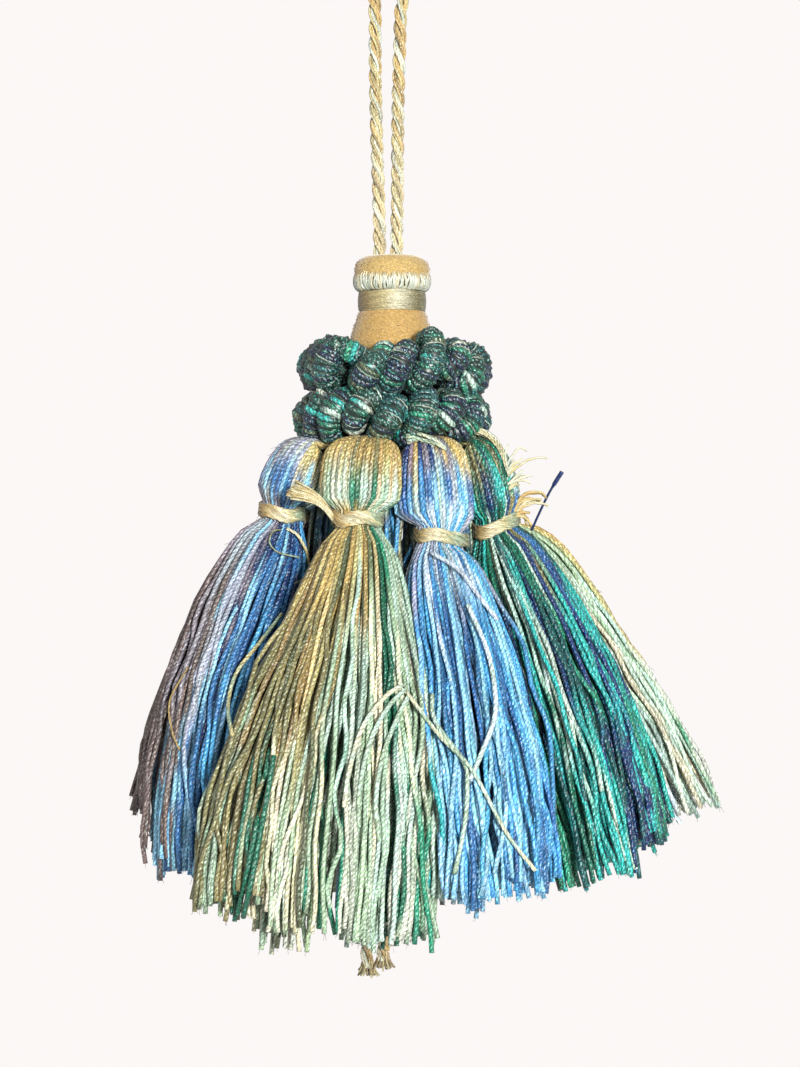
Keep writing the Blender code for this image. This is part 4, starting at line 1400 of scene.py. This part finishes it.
def tie_lines(row, rng):
    """Floss wound round a small tassel's neck, and the azimuths that its places face."""
    centre, neck = neck_place(row)
    share = np.linspace(0, 1, TIE_TURNS * TIE_TURN_STEPS + 1)[None]
    angle = TURN * TIE_TURNS * share - math.pi / 2
    start = (np.arange(TIE_FILAMENTS) + rng.uniform(0, 1, TIE_FILAMENTS))[:, None]
    twist = TURN * TIE_TURNS * TIE_TURN_LENGTH / TIE_TWIST * share
    filament = TURN * start / TIE_FILAMENTS + twist
    size = rng.uniform(0.5, 1.0, (TIE_FILAMENTS, 1))
    half_height = TIE_HEIGHT / 2 - TIE_HALF_SPREAD
    middle = half_height * (2 * share - 1) + TIE_WANDER * wave_noise(rng, 1, share * 3, 5)
    along = middle + TIE_HALF_SPREAD * size * np.cos(filament)
    wound = TIE_GRIP + TIE_UNEVENNESS * wave_noise(rng, 1, share * 3, 4)
    layer = wound + TIE_HALF_THICKNESS * size * np.sin(filament)
    angle = np.broadcast_to(angle, along.shape)
    facing = math.radians(row["head_azimuth"])
    side = np.cos(angle) * math.cos(facing) + np.sin(angle) * math.sin(facing)
    along = along + TIE_DROPS.get(row["name"], 0.0) * side
    lines = (centre + neck["across"] * ((NECK_HALF_WIDTH + layer) * np.cos(angle))[..., None]
             + neck["out"] * ((NECK_HALF_DEPTH + layer) * np.sin(angle))[..., None]
             + neck["down"] * along[..., None])
    return lines, row["head_azimuth"] + 90 - np.degrees(angle)


# The front left tie's two cut ends show, frayed to a tuft.
TUFT_BUNDLE = "front_left"
TUFT_REACH = (-6.7, -2.4, 4.7)
TUFT_THREADS = 76
TUFT_THREAD_RADIUS = 0.15
TUFT_DYES = "gold straw cream straw"
TUFT_SPREAD = [(0.0, 0.30), (0.30, 0.34), (0.50, 0.50), (1.0, 1.15)]  # share of the reach, radius
TUFT_ARCH = 0.8
TUFT_PARTING = 0.5
TUFT_INSET, TUFT_ROOT_OUT, TUFT_TIP_IN = 0.6, 2.2, 1.2
TUFT_TWIST = 0.9
TUFT_FILL, TUFT_FLATNESS = 0.75, 0.6


def tuft_lines(row, rng):
    """The fine threads of a tie's two cut ends, twisted together and frayed at their tips."""
    centre, neck = neck_place(row)
    start = centre - neck["across"] * (NECK_HALF_WIDTH - TUFT_INSET) + neck["out"] * TUFT_ROOT_OUT
    reach = np.array(TUFT_REACH) - neck["out"] * TUFT_TIP_IN
    share = np.linspace(0, 1, 12)
    along = unit(reach)
    side = unit(np.cross(along, [0.0, 0.0, 1.0]))
    up = np.cross(side, along)
    spread = np.interp(share, *np.array(TUFT_SPREAD).T)
    ends = rng.choice([-1, 1], (TUFT_THREADS, 1))
    angle = rng.uniform(0, TURN, (TUFT_THREADS, 1)) + TUFT_TWIST * share
    size = np.sqrt(rng.uniform(0, 1, (TUFT_THREADS, 1))) * spread * TUFT_FILL
    across = size * np.cos(angle) * TUFT_FLATNESS
    rise = size * np.sin(angle) + ends * TUFT_PARTING * spread + TUFT_ARCH * np.sin(math.pi * share)
    length = rng.uniform(0.82, 1.0, (TUFT_THREADS, 1)) * share
    return start + reach * length[..., None] + side * across[..., None] + up * rise[..., None]


def make_ties():
    """Floss wound round each small tassel's neck, and the tuft of one tie's ends."""
    for index, row in enumerate(rows(BUNDLE_COLUMNS, BUNDLES)):
        rng = np.random.default_rng(FIRST_TIE_SEED + index)
        lines, facing = tie_lines(row, rng)
        # The floss's dyes round the neck, with a painted highlight where it faces the front.
        dyes = round_dyes(facing + rng.normal(0, TIE_DYE_SHIFT, (len(lines), 1)), TIE_DYES_AND_HIGHLIGHT)
        tone = rng.normal(1, TIE_TONE_RANGE, (len(lines), 1, 1))
        parts = [tubes(lines, TIE_FILAMENT_RADIUS, dyes * tone, 4)]
        if row["name"] == TUFT_BUNDLE:
            tuft = tuft_lines(row, rng)
            parts.append(tubes(tuft, TUFT_THREAD_RADIUS, thread_dyes(rng, tuft, TUFT_DYES, 30), 4))
        strand_object("wound_tie_" + row["name"], parts, "satin", "tie_" + row["name"])


make_ties()

# ---- inner yarns ---------------------------------------------------------------------------

INNER_YARNS = 150
INNER_HEIGHT_RANGE = 1.6
INNER_AZIMUTH_RANGE = 3
INNER_DYES = "dark_teal dark_blue olive sage taupe blue"
INNER_ROUTE = [  # height, least and greatest reach from the axis
    (-79.9, 4.2, 7.8),
    (-87.0, 4.6, 12.2),
    (-93.0, 5.0, 13.2),
    (-100.0, 5.0, 14.0),
    (-115.0, 5.5, 15.5),
    (-144.5, 6.0, 17.5),
]


def make_inner_yarns():
    """Yarns that hang inside the ring of small tassels and fill the middle."""
    rng = np.random.default_rng(61)
    share = np.sqrt(rng.uniform(0, 1, (INNER_YARNS, 1)))
    azimuth = rng.uniform(0, 360, (INNER_YARNS, 1))
    route = np.array(INNER_ROUTE)
    reach = mix(route[:, 1], route[:, 2], share)
    lower = rng.normal(0, INNER_HEIGHT_RANGE, (INNER_YARNS, 1)) * np.linspace(0, 1, len(route))
    azimuth = azimuth + rng.normal(0, INNER_AZIMUTH_RANGE, (INNER_YARNS, len(route)))
    points = polar(azimuth, reach, route[:, 0] + lower)
    lines = smooth_lines(points, 4)
    yarns = tubes(lines, YARN_RADIUS, thread_dyes(rng, lines, INNER_DYES, 60), 4)
    strand_object("inner_yarns", [yarns], "yarn")


make_inner_yarns()

# ---- loose threads -------------------------------------------------------------------------

# Each is given as it is seen from straight in front: x and z in the plane of the tassel's axis.
LAID_THREADS = [  # dyes, radius, lift, points
    ("mist cream sage", 0.30, 0.45,
     [(2.0, -115.5), (7.2, -122.3), (12.0, -127.4), (17.1, -136.7), (21.5, -142.5)]),
    ("pale mist", 0.36, 0.40,
     [(11.4, -102.6), (14.4, -109.8), (15.5, -116.0), (15.3, -120.0), (13.4, -125.0), (11.7, -129.0)]),
    ("sage mist", 0.34, 0.40,
     [(6.0, -116.0), (6.5, -120.2), (10.8, -126.2), (11.3, -129.6),
      (11.1, -134.1), (10.4, -138.4), (9.4, -143.0)]),
    ("pale lilac", 0.34, 0.40,
     [(6.0, -94.8), (10.0, -97.4), (12.8, -101.0), (15.8, -104.9)]),
    ("cream mist", 0.34, 0.50,
     [(1.6, -114.6), (-1.2, -116.6), (-4.4, -121.0), (-6.4, -127.5), (-7.2, -133.0)]),
    ("mist sage", 0.34, 0.50,
     [(1.9, -115.4), (-0.6, -118.0), (-3.2, -123.0), (-4.8, -130.0), (-5.0, -136.0)]),
    ("sage mist", 0.34, 0.50,
     [(2.4, -116.5), (0.6, -120.0), (-1.4, -125.5), (-2.4, -132.0), (-1.9, -138.0)]),
    ("sage straw", 0.30, 0.60,
     [(-16.5, -104.0), (-20.0, -108.5), (-23.4, -113.0), (-24.6, -118.0), (-23.9, -122.3)]),
    ("old_gold gold", 0.16, 0.40,
     [(-30.6, -112.0), (-33.3, -117.0), (-33.0, -121.5), (-31.8, -124.5)]),
    ("deep_green", 0.38, 0.40,
     [(-18.3, -124.2), (-19.6, -132.0), (-21.4, -141.0), (-23.2, -149.2)]),
    ("deep_green", 0.38, 0.40,
     [(-17.7, -125.2), (-19.0, -133.0), (-20.7, -142.0), (-22.3, -149.5)]),
    ("olive sage", 0.13, 0.70,
     [(-16.6, -91.4), (-17.8, -91.6), (-18.4, -93.2), (-17.4, -94.6), (-15.6, -95.2), (-13.9, -95.5)]),
    ("straw cream", 0.24, 0.70,
     [(-15.8, -91.2), (-14.3, -92.0), (-13.4, -93.4), (-12.7, -95.0), (-12.5, -96.6)]),
]
# Locks of fine strands that lie together. Their points are seen from the front in the same way.
LOCKS = [  # dyes, strands, half spread, radius, lift, points
    ("mist cream sage", 10, 0.8, 0.24, 0.5,
     [(2.2, -77.8), (4.2, -77.6), (6.4, -78.2), (8.2, -79.3)]),
    ("cream straw silver", 12, 0.52, 0.21, 0.5,
     [(8.6, -77.2), (11.6, -76.5), (14.4, -77.2), (16.4, -79.6), (17.6, -83.4)]),
]
LOCK_TAPER = [(0.0, 1.0), (0.55, 1.0), (1.0, 0.25)]  # share of the way along, share of the spread
# These stand off the tassel, from the surface that each is seen against first.
FREE_THREADS = [  # dyes, strands, how far they part, radius, last radius, recession, points
    ("navy", 1, 0.0, 0.20, 0.36, -2.5,
     [(20.9, -91.6), (21.9, -89.3), (23.6, -85.8), (25.5, -82.7)]),
    ("straw gold", 5, 0.7, 0.23, 0.19, 1.5,
     [(18.2, -88.8), (19.2, -87.0), (20.8, -86.5), (22.3, -86.9), (23.0, -88.0)]),
    ("cream gold", 5, 0.7, 0.22, 0.18, 1.5,
     [(18.4, -89.0), (19.8, -87.7), (21.3, -87.5), (22.5, -88.1)]),
    ("gold straw", 6, 0.6, 0.25, 0.20, 1.0,
     [(18.0, -89.4), (19.4, -88.8), (20.6, -89.1), (21.4, -90.0)]),
    ("cream silver", 3, 0.6, 0.18, 0.14, 1.5,
     [(17.2, -84.0), (17.8, -81.6), (18.8, -80.3), (19.5, -80.6)]),
    ("cream straw", 3, 0.7, 0.19, 0.15, 1.5,
     [(17.2, -83.4), (18.6, -81.9), (20.1, -81.2), (21.4, -81.3)]),
    ("cream silver", 4, 0.7, 0.18, 0.14, 1.5,
     [(17.3, -84.6), (19.0, -83.2), (20.4, -82.3), (21.5, -82.6)]),
    ("cream straw", 4, 0.7, 0.18, 0.14, 1.5,
     [(17.4, -85.4), (18.8, -84.0), (19.8, -83.8), (20.7, -84.2)]),
    ("cream silver", 3, 0.6, 0.17, 0.13, 1.5,
     [(16.9, -82.4), (17.4, -80.0), (18.3, -78.8), (19.0, -79.2)]),
]
LAST_STRETCH = 0.76  # how far along a free thread its last radius starts
SHORTEST_FREE_THREAD = 0.4
LAID_SPACING, FREE_SPACING = 0.8, 0.35
FREE_WIGGLE = 0.12


def sight_lines(points):
    """The camera's place, and how each point of the axis plane lies from it."""
    eye = np.array(CAMERA_PLACE)
    return eye, np.stack([points[:, 0], np.zeros(len(points)), points[:, -1]], axis=-1) - eye


def seen_places(points, depth):
    """Places at the given depth that cover points of the axis plane, seen from the camera."""
    eye, sight = sight_lines(points)
    return eye + sight * ((depth - eye[1]) / -eye[1])[:, None]


def nearest_depth(trees, points):
    """Depth of the nearest surface that covers each point of the axis plane, or nan."""
    eye, sight = sight_lines(points)
    depth = np.full(len(points), np.nan)
    for index, ray in enumerate(unit(sight)):
        hits = [tree.ray_cast(Vector(eye * MM), Vector(ray))[0] for tree in trees]
        found = [hit.y / MM for hit in hits if hit]
        if found:
            depth[index] = min(found)
    return depth


def neighbours(values, reach):
    """Each value with those up to so many places before and after it, one row for each shift."""
    padded = np.pad(values, reach, mode="edge")
    return [padded[shift:shift + len(values)] for shift in range(2 * reach + 1)]


def laid_places(trees, points, lift):
    """Places just in front of the skirts that cover points of the axis plane."""
    depth = nearest_depth(trees, points)
    known = ~np.isnan(depth)
    depth = np.interp(np.arange(len(points)), np.flatnonzero(known), depth[known])
    nearest = np.min(neighbours(depth, 2), axis=0)
    return seen_places(points, np.mean(neighbours(nearest, 3), axis=0) - lift)


def laid_threads(rng, trees):
    """Single threads that lie over the skirts, as sets of tubes."""
    parts = []
    for names, radius, lift, points in LAID_THREADS:
        lines = laid_places(trees, smooth_route(points, LAID_SPACING), lift)[None]
        parts.append(tubes(lines, radius, thread_dyes(rng, lines, names.split() * 2, 40), 6))
    return parts


def laid_locks(rng, trees):
    """Locks of fine strands that lie over the small tassels' heads, as sets of tubes."""
    parts = []
    for names, count, half_spread, radius, lift, points in LOCKS:
        route = laid_places(trees, smooth_route(points, LAID_SPACING), lift)[None]
        share = np.linspace(0, 1, route.shape[1])[None]
        angle = rng.uniform(0, TURN, (count, 1)) + 0.8 * share
        angle = angle + 0.12 * wave_noise(rng, count, share, 2)
        taper = np.interp(share, *np.array(LOCK_TAPER).T)
        reach = half_spread * np.sqrt(rng.uniform(0.05, 1, (count, 1))) * taper
        lines = route + circle_offsets(np.repeat(route, count, axis=0), angle, 1.0) * reach[..., None]
        parts.append(tubes(lines, radius * (0.4 + 0.6 * taper), thread_dyes(rng, lines, names, 30), 5))
    return parts


def free_threads(rng, trees):
    """Groups of threads that stand off the tassel, as sets of tubes."""
    parts = []
    for names, count, parting, radius, last_radius, recede, points in FREE_THREADS:
        route = smooth_route(points, FREE_SPACING)
        share = np.linspace(0, 1, len(route))
        depth = nearest_depth(trees, route)
        first_seen = depth[~np.isnan(depth)][0]
        line = seen_places(route, first_seen + radius + recede * share)
        reach = np.linspace(1, SHORTEST_FREE_THREAD, count)[:, None] * share
        lines = np.stack([np.interp(reach, share, line[:, axis]) for axis in range(3)], axis=-1)
        lines += rng.normal(0, parting, (count, 1, 3)) * reach[..., None]
        for axis in range(3):
            lines[..., axis] += FREE_WIGGLE * parting * reach * wave_noise(rng, count, reach, 4)
        last = smoothstep((share - LAST_STRETCH) / 0.06 + 0.5)
        parts.append(tubes(lines, mix(radius, last_radius, last)[None],
                           thread_dyes(rng, lines, names.split() * 2, 40), 5))
    return parts


def make_loose_threads():
    """Threads that stray over the skirts and curl off the ties."""
    rng = np.random.default_rng(71)
    depsgraph = bpy.context.evaluated_depsgraph_get()
    trees = [BVHTree.FromObject(bpy.data.objects["yarns_" + name], depsgraph)
             for name in ("front_left", "front_right", "right", "left", "right_back")]
    lying = laid_threads(rng, trees) + laid_locks(rng, trees)
    strand_object("loose_threads", lying, "yarn")
    strand_object("standing_threads", free_threads(rng, trees), "floss")


make_loose_threads()

# ---- floor, world and lights ---------------------------------------------------------------

FLOOR_Z = -0.26
FLOOR_RADIUS = 3.0
FLOOR_SIDES = 64
FLOOR_COLOUR = (0.93, 0.90, 0.89, 1.0)
FLOOR_FADE = (0.12, 0.42)  # radii between which the floor fades out
AIM = (0.0, 0.0, -0.10)
ROOM_COLOUR = (1.0, 0.965, 0.955)
ROOM_LIGHT = 0.52
ROOM_SEEN = 0.97

LIGHT_COLUMNS = ("name", "place", "size", "power", "colour")
LIGHTS = [
    ("key", (0.22, -0.80, 0.0), 0.14, 12.3, (1.0, 0.98, 0.95)),
    ("fill", (-0.70, -0.55, 0.25), 0.8, 2.0, (0.95, 0.97, 1.0)),
]


def add_world():
    """An even pale room that lights the tassel less strongly than it is seen."""
    world = bpy.data.worlds.new("room")
    bpy.context.scene.world = world
    world.use_nodes = True
    tree = world.node_tree
    tree.nodes.clear()
    path = add_node(tree, "ShaderNodeLightPath")
    lit, seen = (add_node(tree, "ShaderNodeBackground",
                          {"Color": (*ROOM_COLOUR, 1.0), "Strength": strength}).outputs[0]
                 for strength in (ROOM_LIGHT, ROOM_SEEN))
    both = add_node(tree, "ShaderNodeMixShader", {0: path.outputs["Is Camera Ray"], 1: lit, 2: seen})
    add_node(tree, "ShaderNodeOutputWorld", {"Surface": both.outputs[0]})


def floor_material():
    """Pale and matt, and less and less there further out."""
    made = bpy.data.materials.new("floor")
    made.use_nodes = True
    tree = made.node_tree
    inputs = tree.nodes["Principled BSDF"].inputs
    inputs["Base Color"].default_value = FLOOR_COLOUR
    inputs["Roughness"].default_value = 0.9
    inputs["Specular IOR Level"].default_value = 0.0
    place = add_node(tree, "ShaderNodeTexCoord").outputs["Object"]
    reach = add_node(tree, "ShaderNodeVectorMath", {0: place}, operation="LENGTH").outputs["Value"]
    start, end = FLOOR_FADE
    fade = add_node(tree, "ShaderNodeMapRange", {"Value": reach, "From Min": start, "From Max": end,
                    "To Min": 1.0, "To Max": 0.0}, interpolation_type="SMOOTHSTEP")
    tree.links.new(fade.outputs[0], inputs["Alpha"])
    return made


def add_floor():
    """A wide pale disk below the tassel, that fades out into the room."""
    angle = TURN * np.arange(FLOOR_SIDES) / FLOOR_SIDES
    places = [(0.0, 0.0, FLOOR_Z)]
    radii = (0.2, 0.5, FLOOR_RADIUS)
    for radius in radii:
        places += [(radius * math.cos(a), radius * math.sin(a), FLOOR_Z) for a in angle]
    faces = []
    for i in range(FLOOR_SIDES):
        j = (i + 1) % FLOOR_SIDES
        faces.append((0, 1 + i, 1 + j))
        for ring in range(1, len(radii)):
            inner, outer = 1 + (ring - 1) * FLOOR_SIDES, 1 + ring * FLOOR_SIDES
            faces.append((inner + i, outer + i, outer + j, inner + j))
    data = bpy.data.meshes.new("floor")
    data.from_pydata(places, [], faces)
    data.materials.append(floor_material())
    floor = bpy.data.objects.new("floor", data)
    bpy.context.collection.objects.link(floor)


def add_lights():
    """Round area lights that all aim at the middle of the tassel."""
    for row in rows(LIGHT_COLUMNS, LIGHTS):
        data = bpy.data.lights.new(row["name"], "AREA")
        data.shape = "DISK"
        data.size = row["size"]
        data.energy = row["power"]
        data.color = row["colour"]
        light = bpy.data.objects.new(row["name"], data)
        light.location = row["place"]
        facing = Vector(AIM) - Vector(row["place"])
        light.rotation_euler = facing.to_track_quat("-Z", "Y").to_euler()
        bpy.context.collection.objects.link(light)


add_world()
add_floor()
add_lights()
bpy.context.scene.view_settings.view_transform = "Standard"
